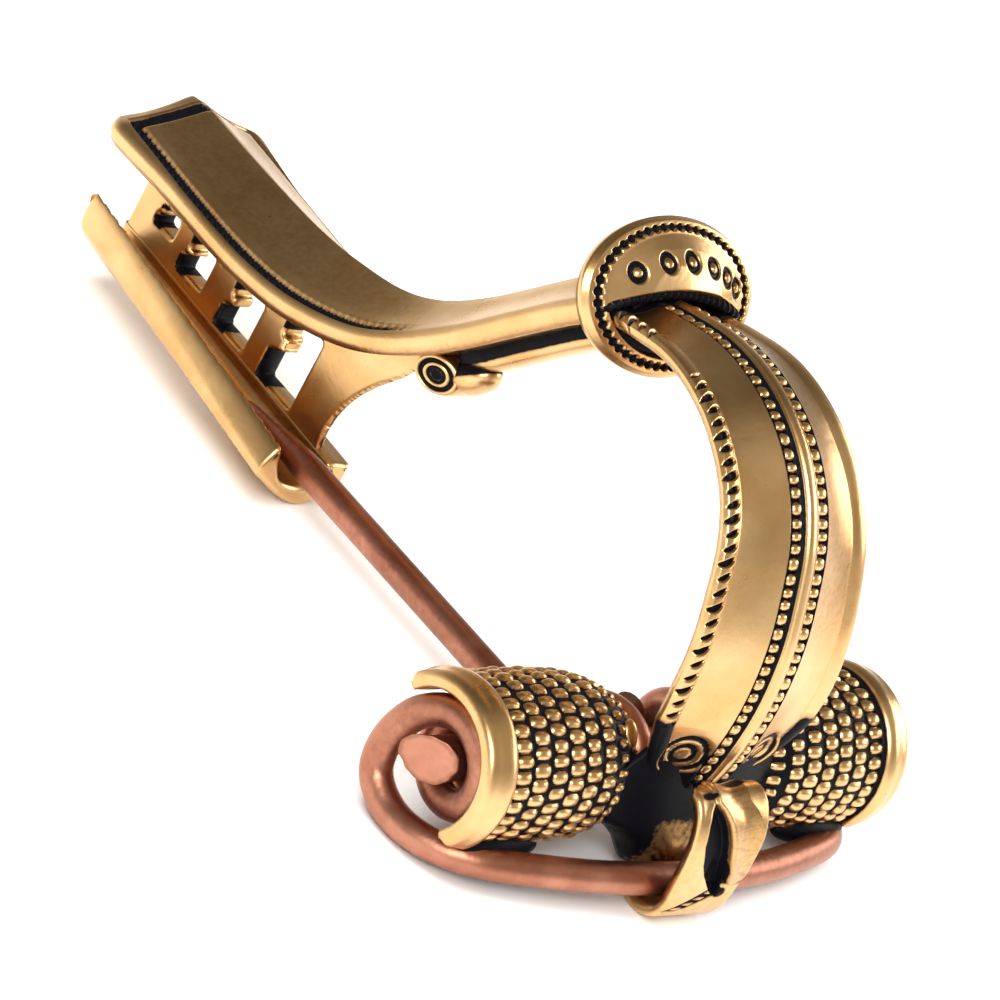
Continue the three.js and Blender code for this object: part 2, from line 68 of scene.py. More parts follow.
# Collar: its middle and lean in degrees, rows of (share of its radius, height), and where its marks lie.
COLLAR = dict(x=15.5, z=22.1, lean=30, half_width=7.4, upper=4.65, lower=5.0, mean_radius=5.6)
COLLAR_DOME = [(0, 2.3), (0.4, 1.9), (0.6, 1.4), (0.78, 0.85), (0.88, 0.72), (0.95, 0.6), (1, 0.2)]
COLLAR_MARKS = [3.9, 1.65, -0.35, -2.35, -3.9, -5.1]
COLLAR_MARK = dict(height=2.05, bend=0.055, ring=0.47, line=0.19, boss=0.26)
COLLAR_DOT = dict(share=0.86, pitch=0.7, half_length=0.25, half_width=0.3)
COLLAR_BACK = [(0.97, -0.35), (0.8, -0.6), (0.4, -0.55), (0.02, -0.5)]
ROOT_CORD = dict(half_length=6.12, radius=0.44, pitch=0.55, height=1.12)

# Foot: its upper edge as (x, z), and at the same places its half width and the height of its keel.
FOOT_END = 56.6
FOOT_EDGE_LINE = [(15.1, 22.3), (19.3, 18.9), (23.2, 15), (26.2, 11.9), (29.2, 9.3), (32.5, 7.3), (37.5, 5.9),
                  (42, 5.55), (47, 5.7), (52, 6), (FOOT_END + 0.55, 6.38)]
FOOT_SIZES = [(3.2, 1.3), (3, 1.7), (3, 1.7), (3.15, 1.8), (3.5, 2), (4.2, 2.4), (4.95, 2.7), (5.35, 2.6),
              (5.55, 2.4), (5.6, 2.2), (5.55, 2)]
FOOT_THICKNESS = 1.6
FOOT_CORNER = 2.3
FOOT_FLARE = 0.9
FOOT_RIM = dict(width=1.02, height=0.3, slope=0.5, edge_radius=0.5, edge_drop=0.55)
FOOT_END_SCALE = 1.25
FOOT_GROOVE = dict(inset=0.7, end_inset=0.8, half_width=0.29, end_width=0.1, depth=0.5)
FOOT_BEAD = dict(pitch=0.6, half_length=0.28, half_width=0.25, height=0.36)

NECK_RIB = dict(start=0.02, end=0.33, half_width=1.3, depth=1.95, half_height=1.05)
KNOB = dict(x=26.3, z=8.05, half_length=1.22, stretch=1.15, splay=0.26)
KNOB_PROFILE = [(0, 1.78, 1.0), (0.24, 1.78, 1.0), (0.3, 1.84, 0.6), (0.52, 1.84, 0.75), (0.58, 1.92, 0.1),
                (0.68, 1.92, 0.1), (0.74, 1.76, 1.0), (0.96, 1.76, 1.0), (1.0, 1.9, 0.2), (1.1, 1.92, 0),
                (1.2, 1.8, 0), (1.22, 1.6, 0), (1.22, 0.9, 0)]

# Catch: outlines as (x, z), windows as (x, z, width, height) and their steps as shares of that size, the
# trough's sections as (y, z) and the share of the way round them at which its lip lies.
CATCH_THICKNESS = 1.8
CATCH_NEAR = [(27.6, 9.2), (28.3, 7.6), (29.4, 5.6), (31, 3.6), (32.1, 1.8), (32.7, 0), (32.8, -1.6),
              (32.5, -2.8), (31.9, -3.8)]
CATCH_FAR = [(56.2, -2.6), (56.2, 5.4), (42, 4.6), (33.5, 6.2), (29.5, 8.8)]
CATCH_BEYOND = [(60, -4), (60, 12)]
CATCH_CELL = 0.125
CATCH_THINNING = 1.25
CATCH_EDGE = 0.3
WINDOWS = [(36.4, -2.1, 3.7, 5.1), (42.2, -1.8, 3.1, 3.6), (47.7, -1.1, 2.7, 2.5), (51.9, 0, 2, 1.3)]
WINDOW_STEPS = np.array([(0, 0), (1, 0), (1, 0.36), (0.72, 0.44), (0.72, 0.68), (0.86, 0.74), (0.86, 1),
                         (0, 1)])
ROUNDING = 0.2
TROUGH_X = (31.1, 56.4)
TROUGH_NEAR = [(-0.9, -2.6), (-0.8, -4.2), (0.3, -5.3), (1.9, -5.8), (3.9, -5.15), (5.6, -4.15),
               (6.75, -3.3), (6.4, -2.2), (5.7, -1.4), (5, -2.9), (4.4, -3.8), (3, -4.35), (1.6, -4.2),
               (0.9, -3.4), (0.9, -2.6)]
TROUGH_FAR = [(-0.9, -1.6), (-0.8, -2.8), (0.1, -3.5), (1.4, -3.95), (2.9, -3.6), (4, -2.8), (4.6, -2),
              (4.7, -0.7), (4.4, 0.35), (3.9, -1.1), (3.5, -2), (2.7, -2.6), (1.6, -2.65), (0.9, -2.2),
              (0.9, -1.6)]
TROUGH_END_RADIUS = 0.38
TROUGH_LIP = 0.56

# Sleeves: distances from the bow plane, radii, and angles in degrees from the foot's side upwards.
SLEEVE = dict(inner=4.05, start=4.6, rim=16, first=35, last=221, rings=8, grains=17, height=0.31)
SLEEVE_RIM = [(16, 4.7), (16.04, 4.92), (16.16, 5.12), (16.4, 5.25), (16.7, 5.3), (17.0, 5.24), (17.25, 5.17),
              (17.45, 5.13), (17.65, 5.11), (17.9, 5.06), (18.1, 4.95), (18.24, 4.78), (18.3, 4.55),
              (18.27, 4.25), (18.15, 4.07)]
SLEEVE_RADIUS = [(4.6, 3.5), (6, 4.3), (7.6, 4.8), (10, 4.95), (13, 4.95), (16, 4.8)]

# Wire: thickness, coils, and the run from the left coil's outer end to the chord.
WIRE = 2.0
COIL_RADIUS = 2.75
COIL_PITCH = 2.55
LAST_TURN = np.radians(70)
PIN_TURNS = 5.75 - LAST_TURN / (2 * np.pi)
LAST_Y = PIN_Y + COIL_PITCH * PIN_TURNS
PIN_LOOP = 0.9
RIGHT_TURNS = 6.9
SEAM = 0.07
CHORD = (-7.25, 0, -3.65)
RUN_TO_CHORD = [(2.8, 17.4, 1.1), (3.65, 17.7, -1.4), (3.2, 17.8, -3.5), (1.2, 17.7, -4.65),
                (-1.6, 17.3, -4.6), (-4, 15.5, -4.2), (-5.8, 11, -3.85), (-6.9, 5.5, -3.7)]
AXLE_RADIUS = 1.35
AXLE_ENDS = (-17.6, 19.2)
PIN_SHAFT_X = (1.5, 6, 15)
PIN_TAPER_FROM = 30.5
PIN_REACH = 37.8
PIN_TAPER = 0.8
WIRE_SIDES = 18
SPRING_RINGS = 1100
PIN_RINGS = 300

# Hook: its line as (x, z), then rows that start with a place along it or across it, as hook() says.
HOOK_LINE = [(-5.35, -4.5), (-5.9, -5.35), (-7.25, -5.8), (-8.77, -5.17), (-9.4, -4.0),
             (-9.5, -2.4), (-9.4, -0.6), (-9.1, 0.9), (-8.55, 2.1), (-7.75, 2.85), (-7.0, 3.0), (-6.4, 2.65)]
HOOK_THICKNESS = 0.85
HOOK_Y = 1.25
HOOK_HALF_WIDTH = 2.85
HOOK_ROUND_TOP = 1.4
HOOK_EDGE = dict(radius=0.35, drop=0.3)
HOOK_TONGUE = dict(tip=8.45, y=-1.75, half_width=1.15, round=1.1, height=0.34, hollow=0.22)
HOOK_BEADS = dict(y=0.35, at=6.05, slant=1.5, half_width=0.62, pitch=0.44, depth=0.16)
HOOK_PATCHES = [(-1.2, 6.6, 0.5, 0.35), (1.9, 13.0, 0.5, 0.22), (-0.6, 13.8, 0.9, 0.3)]
HOOK_SLOT = [(6.2, -1.1, 0), (6.7, -0.75, 0.45), (8, 0, 0.95), (8.7, 0.35, 1.07), (10, 0.85, 1.1),
             (11.3, 1.2, 0.8), (12.1, 1.4, 0.42), (12.6, 1.5, 0)]

rng = np.random.default_rng(7)


# ---- curves and small formulas ----
def smooth(low, high, value):
    """0 below low, 1 above high, an S-curve between."""
    t = np.clip((value - low) / (high - low), 0, 1)
    return t * t * (3 - 2 * t)


def swell(value, half):
    """A soft bump: exp(-(value / half)^2), 1 in the middle."""
    return np.exp(-(value / half) ** 2)


def stripe(value, half):
    """A flat-topped band: exp(-(value / half)^4), near 1 within half of the middle."""
    return np.exp(-(value / half) ** 4)


def rounding(depth, radius):
    """Drop of a quarter-round edge as a share of its radius: 1 at the edge, 0 from one radius inwards."""
    return 1 - np.sqrt(np.clip(1 - (1 - np.clip(depth / radius, 0, 1)) ** 2, 0, 1))


def oval(x, y, power):
    """Distance from the middle of a rounded square, (x^power + y^power)^(1 / power): 1 on its outline."""
    return (x**power + y**power) ** (1 / power)


def from_nearest(along, pitch):
    """Signed distance to the nearest of the places that repeat at every pitch."""
    turn = along / pitch
    return (turn - np.round(turn)) * pitch


def rounded(value, power):
    """Signed power: turns a circle's sine or cosine into a fuller or leaner section."""
    return np.sign(value) * np.abs(value) ** power


def circle_steps(count):
    """Angles of `count` equal steps round a circle, as one row."""
    return np.linspace(0, 2 * np.pi, count, endpoint=False)[None, :]


def table(rows, t):
    """Straight interpolation in (t, value) rows."""
    rows = np.array(rows, float)
    return np.interp(t, rows[:, 0], rows[:, 1])


def spline(points, t):
    """Centripetal Catmull-Rom curve through the points; t runs 0 to 1 in equal shares per span.

    Each span is the cubic with end slopes t1, t2 from the square roots of the distances between points.
    """
    p = np.array(points, float)
    p = np.vstack([2 * p[0] - p[1], p, 2 * p[-1] - p[-2]])
    spans = len(points) - 1
    at = np.clip(np.asarray(t, float), 0, 1) * spans
    i = np.minimum(at.astype(int), spans - 1)
    w = (at - i)[:, None]
    a, b, c, d = p[i], p[i + 1], p[i + 2], p[i + 3]
    gap = lambda m, n: np.sqrt(np.maximum(np.linalg.norm(n - m, axis=1), 1e-6))[:, None]
    g0, g1, g2 = gap(a, b), gap(b, c), gap(c, d)
    s1 = ((b - a) / g0 - (c - a) / (g0 + g1) + (c - b) / g1) * g1
    s2 = ((c - b) / g1 - (d - b) / (g1 + g2) + (d - c) / g2) * g1
    return b + s1 * w + (3 * (c - b) - 2 * s1 - s2) * w**2 + (2 * (b - c) + s1 + s2) * w**3


def even_steps(points, count):
    """Parameters t of `count` points at equal distances along the spline, and the distance at each."""
    t = np.linspace(0, 1, 4000)
    run = np.linalg.norm(np.diff(spline(points, t), axis=0), axis=1)
    length = np.concatenate([[0], np.cumsum(run)])
    at = np.linspace(0, length[-1], count)
    return np.interp(at, length, t), at


def plane_frames(points, t):
    """Points and outward normals (up-left of the travel) of a curve in the bow plane."""
    step = 1e-4
    at = spline(points, t)
    run = spline(points, np.minimum(t + step, 1)) - spline(points, np.maximum(t - step, 0))
    run /= np.linalg.norm(run, axis=1)[:, None]
    return at, np.stack([-run[:, 1], run[:, 0]], 1)


# ---- meshes ----
def add_object(name, data):
    """Puts new data into the scene as an object."""
    item = bpy.data.objects.new(name, data)
    bpy.context.collection.objects.link(item)
    return item


def mesh_piece(name, points, faces, body, slot, patina_and_shade):
    """Makes a piece from points in millimetres about the spring's axis and a list of face arrays.

    slot names its finish. The last argument says for each point how black it is: 0 is bare metal, 1 a black
    hollow; mostly patina, and on the catch plate painted shade as well.
    """
    mesh = bpy.data.meshes.new(name)
    place = np.asarray(points, float) * MM + AXIS
    counts = np.concatenate([np.full(len(f), f.shape[1]) for f in faces])
    corners = np.concatenate([f.ravel() for f in faces])
    mesh.vertices.add(len(place))
    mesh.vertices.foreach_set("co", place.ravel())
    mesh.loops.add(len(corners))
    mesh.loops.foreach_set("vertex_index", corners.astype(np.int32))
    mesh.polygons.add(len(counts))
    mesh.polygons.foreach_set("loop_start", (np.cumsum(counts) - counts).astype(np.int32))
    mesh.polygons.foreach_set("use_smooth", np.ones(len(counts), bool))
    mesh.update(calc_edges=True)
    mesh.validate()
    layer = mesh.attributes.new("patina_and_shade", "FLOAT", "POINT")
    layer.data.foreach_set("value", np.clip(patina_and_shade, 0, 1).astype(np.float32))
    piece = add_object(name, mesh)
    mesh.materials.append(FINISHES[slot])
    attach(piece, body)
    return piece


def ring_faces(rows, columns):
    """Quads between rings of points stored ring by ring; each ring's last point joins its first."""
    i, j = np.meshgrid(np.arange(rows - 1) * columns, np.arange(columns), indexing="ij")
    after = (j + 1) % columns
    return np.stack([i + j, i + after, i + columns + after, i + columns + j], -1).reshape(-1, 4)


def tube_piece(name, grid, body, slot, patina_and_shade, folded=False):
    """A closed skin over rings of points, given as an array (rings, points of a ring, 3).

    Each end is closed by a fan of triangles from its middle, or, where the ring is folded like a bent
    strip, by a ladder of triangles across the strip. A negative volume turns all faces round.
    """
    rows, columns = grid.shape[:2]
    points, shade = grid.reshape(-1, 3), np.broadcast_to(patina_and_shade, (rows, columns)).ravel()
    last_ring = (rows - 1) * columns
    if folded:
        k = np.arange(columns // 2)
        rungs = np.vstack([np.stack([k, k + 1, (columns - k) % columns], 1),
                           np.stack([k + 1, columns - k - 1, (columns - k) % columns], 1)])
        ends = np.vstack([rungs[:, ::-1], last_ring + rungs])
    else:
        ring = np.arange(columns)
        after, first, last = (ring + 1) % columns, 0 * ring + rows * columns, 0 * ring + rows * columns + 1
        ends = np.vstack([np.stack([first, after, ring], 1),
                          np.stack([last, last_ring + ring, last_ring + after], 1)])
        points = np.vstack([points, grid[0].mean(0), grid[-1].mean(0)])
        shade = np.append(shade, [patina_and_shade[0].mean(), patina_and_shade[-1].mean()])
    quads = ring_faces(rows, columns)
    a, b, c, d = (points - points.mean(0))[quads.T]
    volume = (np.cross(a, b) * c + np.cross(a, c) * d).sum()
    if volume < 0:
        quads, ends = quads[:, ::-1], ends[:, ::-1]
    return mesh_piece(name, points, [quads, ends], body, slot, shade)


# ---- shader maths ----
class Value:
    """A number in a material: wraps a socket, and turns + - * / into Math nodes."""

    def __init__(self, shader, socket):
        self.shader, self.socket = shader, socket

    def _math(self, operation, *values):
        """Result of a Math node."""
        return self.shader.node("ShaderNodeMath", dict(enumerate(values)), operation=operation)

    def __add__(self, other): return self._math("ADD", self, other)
    def __radd__(self, other): return self._math("ADD", other, self)
    def __sub__(self, other): return self._math("SUBTRACT", self, other)
    def __rsub__(self, other): return self._math("SUBTRACT", other, self)
    def __mul__(self, other): return self._math("MULTIPLY", self, other)
    def __rmul__(self, other): return self._math("MULTIPLY", other, self)
    def __truediv__(self, other): return self._math("DIVIDE", self, other)

    def limit(self):
        """Kept between 0 and 1."""
        return self._math("MINIMUM", self._math("MAXIMUM", self, 0.0), 1.0)

    def rise(self, low, high):
        """0 up to low, 1 from high on, straight between."""
        return ((self - low) / (high - low)).limit()


class Shader:
    """Node tree of a material or of the world, with its main node."""

    def __init__(self, owner, main="Principled BSDF"):
        owner.use_nodes = True
        self.tree = owner.node_tree
        self.main = self.tree.nodes[main]

    def node(self, kind, inputs=None, output=0, **settings):
        """Adds a node: its settings first, then values or links for its sockets."""
        node = self.tree.nodes.new(kind)
        for key, value in settings.items():
            setattr(node, key, value)
        for key, value in (inputs or {}).items():
            self.feed(node.inputs[key], value)
        return Value(self, node.outputs[output])

    def feed(self, socket, value):
        """Links a Value to a socket, or sets the socket to a plain value."""
        if isinstance(value, Value):
            self.tree.links.new(value.socket, socket)
        else:
            socket.default_value = value

    def set(self, **values):
        """Feeds the main node's sockets; an underscore stands for a space in a socket's name."""
        for key, value in values.items():
            self.feed(self.main.inputs[key.replace("_", " ")], value)

    def noise(self, where, scale, detail):
        """Noise around 0.5 with `scale` lumps to the metre."""
        values = {"Vector": where, "Scale": scale, "Detail": detail, "Roughness": 0.55}
        return self.node("ShaderNodeTexNoise", values)

    def blend(self, factor, first, second):
        """Mix of two colours."""
        return self.node("ShaderNodeMix", {0: factor, 6: first, 7: second}, output=2, data_type="RGBA")

    def ramp(self, value, stops):
        """Colour between (position, colour) stops."""
        mixed = self.node("ShaderNodeValToRGB", {0: value})
        elements = mixed.socket.node.color_ramp.elements
        while len(elements) < len(stops):
            elements.new(0.5)
        for element, (position, colour) in zip(elements, stops):
            element.position, element.color = position, colour
        return mixed

    def part(self, vector, index):
        """One coordinate of a vector."""
        return self.node("ShaderNodeSeparateXYZ", {0: vector}, output=index)

    def bump(self, height, strength):
        """Normal of a surface with fine relief, at most FINE_RELIEF deep."""
        return self.node("ShaderNodeBump", {"Height": height, "Strength": strength, "Distance": FINE_RELIEF})

    def place(self):
        """Position on the piece, in its own metres."""
        return self.node("ShaderNodeTexCoord", output=3)

    def attribute(self, name):
        """A number stored with the piece's points."""
        return self.node("ShaderNodeAttribute", output=2, attribute_name=name)


FINE_RELIEF = 0.2 * MM
GOLD = (0.63, 0.375, 0.15, 1)
PALE_GOLD = (0.76, 0.5, 0.24, 1)
UMBER = (0.22, 0.1, 0.035, 1)
BLACK = (0.004, 0.004, 0.006, 1)
COPPER = (0.37, 0.145, 0.088, 1)
PALE_COPPER = (0.52, 0.235, 0.155, 1)
DARK_COPPER = (0.15, 0.06, 0.035, 1)


def bronze():
    """Cast bronze: gold tones in soft clouds, an umber film, and black where a point's blackness value is
    high: patina, and on the catch plate painted shade.
    """
    material = bpy.data.materials.new("bronze")
    s = Shader(material)
    where = s.place()
    clouds = s.noise(where, 230.0, 5.0)
    fine = s.noise(where, 2600.0, 3.0)
    patina_and_shade = s.attribute("patina_and_shade")
    ragged = patina_and_shade + (fine - 0.5) * 0.35 + (clouds - 0.5) * 0.2
    black = ragged.rise(0.45, 0.61)
    gold = s.blend(clouds.rise(0.36, 0.66), GOLD, PALE_GOLD)
    stained = s.blend(ragged.rise(0.1, 0.55) * 0.8, gold, UMBER)
    pits = s.noise(where, 5200.0, 2.0).rise(0.7, 0.76) * 0.35
    s.set(Base_Color=s.blend((black + pits).limit(), stained, BLACK), Metallic=1.0 - black,
          Roughness=0.22 + 0.14 * clouds + 0.08 * black, Specular_IOR_Level=0.06,
          Normal=s.bump(fine * 0.5 + clouds * 0.6 - pits, 0.12))
    return material


def copper():
    """Dulled copper wire: rosy metal in soft clouds, with brown tarnish and a fine grain."""
    material = bpy.data.materials.new("copper")
    s = Shader(material)
    where = s.place()
    clouds = s.noise(where, 240.0, 4.0)
    fine = s.noise(where, 2400.0, 3.0)
    rosy = s.blend(clouds.rise(0.38, 0.64), COPPER, PALE_COPPER)
    brown = (s.attribute("patina_and_shade") + (fine - 0.5) * 0.4).rise(0.25, 0.65)
    s.set(Base_Color=s.blend(brown * 0.85, rosy, DARK_COPPER), Metallic=1.0,
          Roughness=0.33 + 0.14 * clouds, Normal=s.bump(fine, 0.15))
    return material


FINISHES = {"bronze": bronze(), "copper": copper()}


def cast_piece(name, grid, patina_and_shade, folded=False):
    """A closed skin of cast bronze over rings of points, riding on the brooch."""
    return tube_piece(name, grid, "brooch", "bronze", patina_and_shade, folded)


# ---- a ribbon with relief: bow, foot and hook ----
def ribbon(name, line, t, u, relief, under, shift=0.0):
    """A strap along a curve in the bow plane.

    u holds the places across it. relief(u) gives the height of the upper side along the outward normal
    and how black it is; the lower side runs back at height under(u), with one column for every six.
    """
    at, out = plane_frames(line, t)
    count = u.shape[1]
    u = np.concatenate([u, u[:, ::-1][:, 6:-6:6]], 1)
    upper = np.arange(u.shape[1]) < count
    height, dark = relief(u)
    v = np.where(upper, height, under(u))
    grid = np.stack([at[:, :1] + out[:, :1] * v, u + shift, at[:, 1:] + out[:, 1:] * v], -1)
    return cast_piece(name, grid, np.where(upper, dark, 0.2))


def places(w, inner, steps, outer):
    """Places across a strap of half width w: set distances from its middle, even steps, and set
    distances from its edge. Where the strap is narrow, all of them are squeezed alike.
    """
    inner, outer = np.array(inner)[None, :], np.array(outer)[None, :]
    squeeze = np.minimum(1, w / (inner[0, -1] + outer[0, 0] + 0.3))
    start, end = squeeze * inner[0, -1], w - squeeze * outer[0, 0]
    between = start + (end - start) * np.linspace(0, 1, steps + 2)[None, 1:-1]
    half = np.concatenate([squeeze * inner, between, w - squeeze * outer], 1)
    return np.concatenate([-half[:, :0:-1], half], 1)


def bow_notches(s, t, edge):
    """1 in the slanted oval notches of the bow's border, and 1 where the border has notches at all.

    Their sizes vary a little; a plain stretch parts the long row from the few next to the collar.
    """
    n = BOW_NOTCH
    row = smooth(n["first"] - n["step"], n["first"], t) * smooth(n["last"] + n["step"], n["last"], t)
    root = smooth(n["root"], n["root"] + n["step"], t) * smooth(n["root_end"], n["root_end"] - n["step"], t)
    place = s - n["slant"] * edge
    size = 1.05 - 0.22 * np.sin(2.1 * np.round(place / n["pitch"])) ** 2 + 0.1 * root
    d = np.hypot(from_nearest(place, n["pitch"]) / (n["half_width"] * size),
                 (edge - n["inset"]) / (n["half_length"] * size))
    return (1 - smooth(0.7, 1.05, d)) * (row + root), row + root


def bow():
    """Bow: round rib, two bead rows in black channels, sloping facets, one border with slanted notches.

    The notched border is the one on the catch's open side; the other is plain. Heights are worked
    out over the distance from the middle, a, and along the bow, s.
    """
    t, along = even_steps(RIB, 600)
    w = table(BOW_HALF_WIDTH, t)[:, None]
    fall = table(BOW_FALL, t)[:, None] * np.minimum(1, w / 5)
    s, t = along[:, None], t[:, None]
    length = along[-1]
    start, end = BOW_CHANNEL
    beads, circles = BOW_BEAD, BOW_CIRCLE
    border_height = -BOW_BORDER_DROP * fall

    def relief(u):
        """Height and patina of the upper side."""
        a = np.abs(u)
        edge = w - a
        run = np.clip((a - end) / np.maximum(w - BOW_BORDER - end, 0.3), 0, 1)
        facet = -BOW_SHOULDER + (BOW_SHOULDER + border_height) * run - 0.12 * np.sin(np.pi * run)
        border = border_height + 0.17 * np.sin(np.pi * np.clip((edge - 0.02) / BOW_BORDER, 0, 1)) ** 0.7
        h = np.where(a > w - BOW_BORDER, border, facet) - 0.22 * smooth(0.2, 0, edge)
        rib = -0.24 * (a / start) ** 2 - 0.1 * swell(a - 0.4, 0.05)
        dx = np.abs(from_nearest(s + 0.1 * np.sin(1.7 * s), beads["pitch"])) / beads["half_length"]
        dy = np.abs(a - (start + end) / 2) / beads["half_width"]
        d = oval(dx, dy, beads["squareness"])
        bead = -beads["bed"] + beads["height"] * np.sqrt(np.clip(1 - d**2.4, 0, 1))
        h = np.where(a < start, rib, np.where(a < end, bead, h))
        notch, notched = (part * (u > 0) for part in bow_notches(s, t, edge))
        r = np.hypot(a - circles["y"], s - circles["up"])
        circle = sum(stripe(r - radius, circles["line"]) for radius in circles["rings"])
        h = h - BOW_NOTCH["depth"] * notch + 0.05 * notched * swell(edge - 0.6, 0.5)
        h = h - circles["depth"] * circle - 0.5 * smooth(1.4, 0, s) ** 2
        channel = ((a > start - 0.04) & (a < end + 0.05)) * smooth(0.78, 0.96, d)
        below = smooth(1.72, 1.92, r) * smooth(circles["up"] + 0.9, circles["up"] - 0.3, s) * (a > end)
        side = smooth(1.5, 1.1, edge) * smooth(6.6, 5.4, s) * smooth(1.66, 1.82, r)
        rib_end = smooth(2.2, 1.4, s) * (a <= end)
        root = smooth(length - 0.9, length - 0.5, s)
        # Darker brown tone over the upper part of the right facet, inside its border.
        darker_facets = 0.33 * (u < -end) * smooth(0.25, 0.4, t) * smooth(BOW_BORDER, BOW_BORDER + 0.3, edge)
        dark = darker_facets + channel + 1.2 * notch + 1.1 * circle + below + side + rib_end + root
        return h, np.clip(dark, 0, 1)

    def under(u):
        """Height of the lower side."""
        share = np.abs(u) / w
        return -BOW_BACK + (BOW_BACK - fall - BOW_EDGE) * share**3

    rib_places = [0, 0.14, 0.27, 0.34, 0.38, 0.42, 0.46, 0.53, 0.6, 0.64]
    channel_places = [*np.linspace(0.69, 1.53, 13), 1.58, 1.62, 1.7]
    u = places(w, rib_places + channel_places, 12, [*np.linspace(1.42, 0.1, 24), 0.05, 0])
    piece = ribbon("bow", RIB, t[:, 0], u, relief, under)
    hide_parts("casting")


def foot():
    """Foot: a roofed neck that widens into a keeled plate; a beaded groove follows its edges and end.

    The groove lies at one distance from the nearest edge, so it turns the corners.
    """
    t, along = even_steps(FOOT_EDGE_LINE, 440)
    w, ridge = (part[:, None] for part in spline(FOOT_SIZES, t).T)
    s, t = along[:, None], t[:, None]
    to_end = along[-1] - s
    grooved = smooth(0.36, 0.5, t)
    flare = smooth(0.84, 1, t)
    w = w - FOOT_CORNER * rounding(to_end, FOOT_CORNER) + FOOT_FLARE * flare
    rim = FOOT_RIM["width"] + FOOT_FLARE * flare
    inset = FOOT_GROOVE["inset"] + FOOT_GROOVE["end_inset"] * flare
    end_edge = to_end / FOOT_END_SCALE

    def relief(u):
        """Height and patina of the upper side."""
        a = np.abs(u)
        edge = np.minimum(w - a, end_edge)
        run = np.clip(a / (w - rim), 0, 1)
        keel = ridge + (FOOT_RIM["height"] - ridge) * run - 0.12 * np.sin(np.pi * run) - 0.1 * swell(a, 0.3)
        border = FOOT_RIM["height"] - FOOT_RIM["slope"] * np.clip((a - w + rim) / rim, 0, 1)
        h = np.where(a > w - rim, border, keel) - 0.25 * smooth(1.8, 0.4, to_end)
        h = h - FOOT_RIM["edge_drop"] * rounding(edge, FOOT_RIM["edge_radius"])
        across = edge - inset
        groove = stripe(across, FOOT_GROOVE["half_width"] + FOOT_GROOVE["end_width"] * flare) * grooved
        place = np.where(w - a < end_edge, s, u)
        bead = np.hypot(from_nearest(place, FOOT_BEAD["pitch"]) / FOOT_BEAD["half_length"],
                        across / FOOT_BEAD["half_width"])
        bead = np.clip(1 - bead**2, 0, 1) ** 0.5
        wave = 0.5 + 0.5 * np.cos(2 * np.pi * place / FOOT_BEAD["pitch"])
        tips = swell(across - 0.3, 0.1) * wave * grooved
        h = h - groove * (FOOT_GROOVE["depth"] - FOOT_BEAD["height"] * bead) + 0.07 * tips
        neck = smooth(1.6, 0.4, s)
        # Darker brown tone over the field inside the rim, from about two fifths of the way along.
        darker_facets = 0.22 * smooth(rim, rim + 1.0, w - a) * smooth(0.3, 0.5, t)
        return h, np.clip(1.3 * groove * (1 - 0.1 * bead) - 0.7 * tips + 0.8 * neck + darker_facets, 0, 1)

    def under(u):
        """Height of the lower side."""
        return -FOOT_THICKNESS + 0.4 * smooth(0.5, 0, np.minimum(w - np.abs(u), to_end)) ** 2

    edge_places = [*np.linspace(2.0, 0.36, 34), 0.28, 0.2, 0.13, 0.07, 0.03, 0]
    u = places(w, [0, 0.1, 0.2, 0.32, 0.5], 8, edge_places)
    ribbon("foot", FOOT_EDGE_LINE, t[:, 0], u, relief, under)


def neck_rib():
    """Rib under the neck: a rounded bar along the foot's line, black on its upper side."""
    t = np.linspace(NECK_RIB["start"], NECK_RIB["end"], 60)
    at, out = plane_frames(FOOT_EDGE_LINE, t)
    turn = circle_steps(40)
    u = NECK_RIB["half_width"] * rounded(np.cos(turn), 0.6) * (1 + 0 * t[:, None])
    v = -NECK_RIB["depth"] + NECK_RIB["half_height"] * rounded(np.sin(turn), 0.75)
    v = v + 0.45 * smooth(NECK_RIB["end"] - 0.06, NECK_RIB["end"], t)[:, None]
    x, z = at[:, :1] + out[:, :1] * v, at[:, 1:] + out[:, 1:] * v
    groove = smooth(-2.5, -2.25, v)
    cast_piece("neck_rib", np.stack([x, u, z], -1), groove)


def knob():
    """Knob below the neck: a short bar across the brooch with two rings cut in each end."""
    left, right = KNOB_PROFILE, [(a, -b, c) for a, b, c in KNOB_PROFILE[::-1]]
    r, y, shade = (part[:, None] for part in np.array(left + [(KNOB["half_length"], 0, 0)] + right).T)
    r = np.maximum(r, 0.02)
    turn = circle_steps(56)
    x = KNOB["stretch"] * r * np.cos(turn)
    grid = np.stack([KNOB["x"] + x, y * (1 + KNOB["splay"] * x), KNOB["z"] + r * np.sin(turn)], -1)
    cast_piece("knob", grid, shade + 0 * turn)


# Lumps: name, centre, radii, turn in degrees, patina below and above.
LUMPS = [("heel", (25.0, 0, 8.9), (1.9, 1.45, 1.15), 42, 0.1, 1.0),
         ("leaf", (-2.35, 5.7, 3.25), (0.4, 0.62, 0.95), 35, 0, 0),
         ("left_lug", (-3.65, 13.5, -3.5), (1.0, 3.2, 1.0), 0, 0.95, 0.95),
         ("right_lug", (-3.65, -13.5, -3.5), (1.0, 3.2, 1.0), 0, 0.95, 0.95)]


def egg(name, centre, radii, turn_degrees, below, above):
    """A lump: an ellipsoid turned in the bow plane, with its own patina on its upper side."""
    a = np.linspace(0.02, np.pi - 0.02, 32)[:, None]
    b = circle_steps(48)
    x, z = radii[0] * np.sin(a) * np.cos(b), radii[2] * np.sin(a) * np.sin(b)
    y = radii[1] * np.cos(a) + 0 * b
    turn = np.radians(turn_degrees)
    x, z = x * np.cos(turn) + z * np.sin(turn), z * np.cos(turn) - x * np.sin(turn)
    grid = np.stack([x, y, z], -1) + np.array(centre)
    cast_piece(name, grid, below + (above - below) * smooth(-0.15, 0.2, np.sin(a) * np.sin(b)))


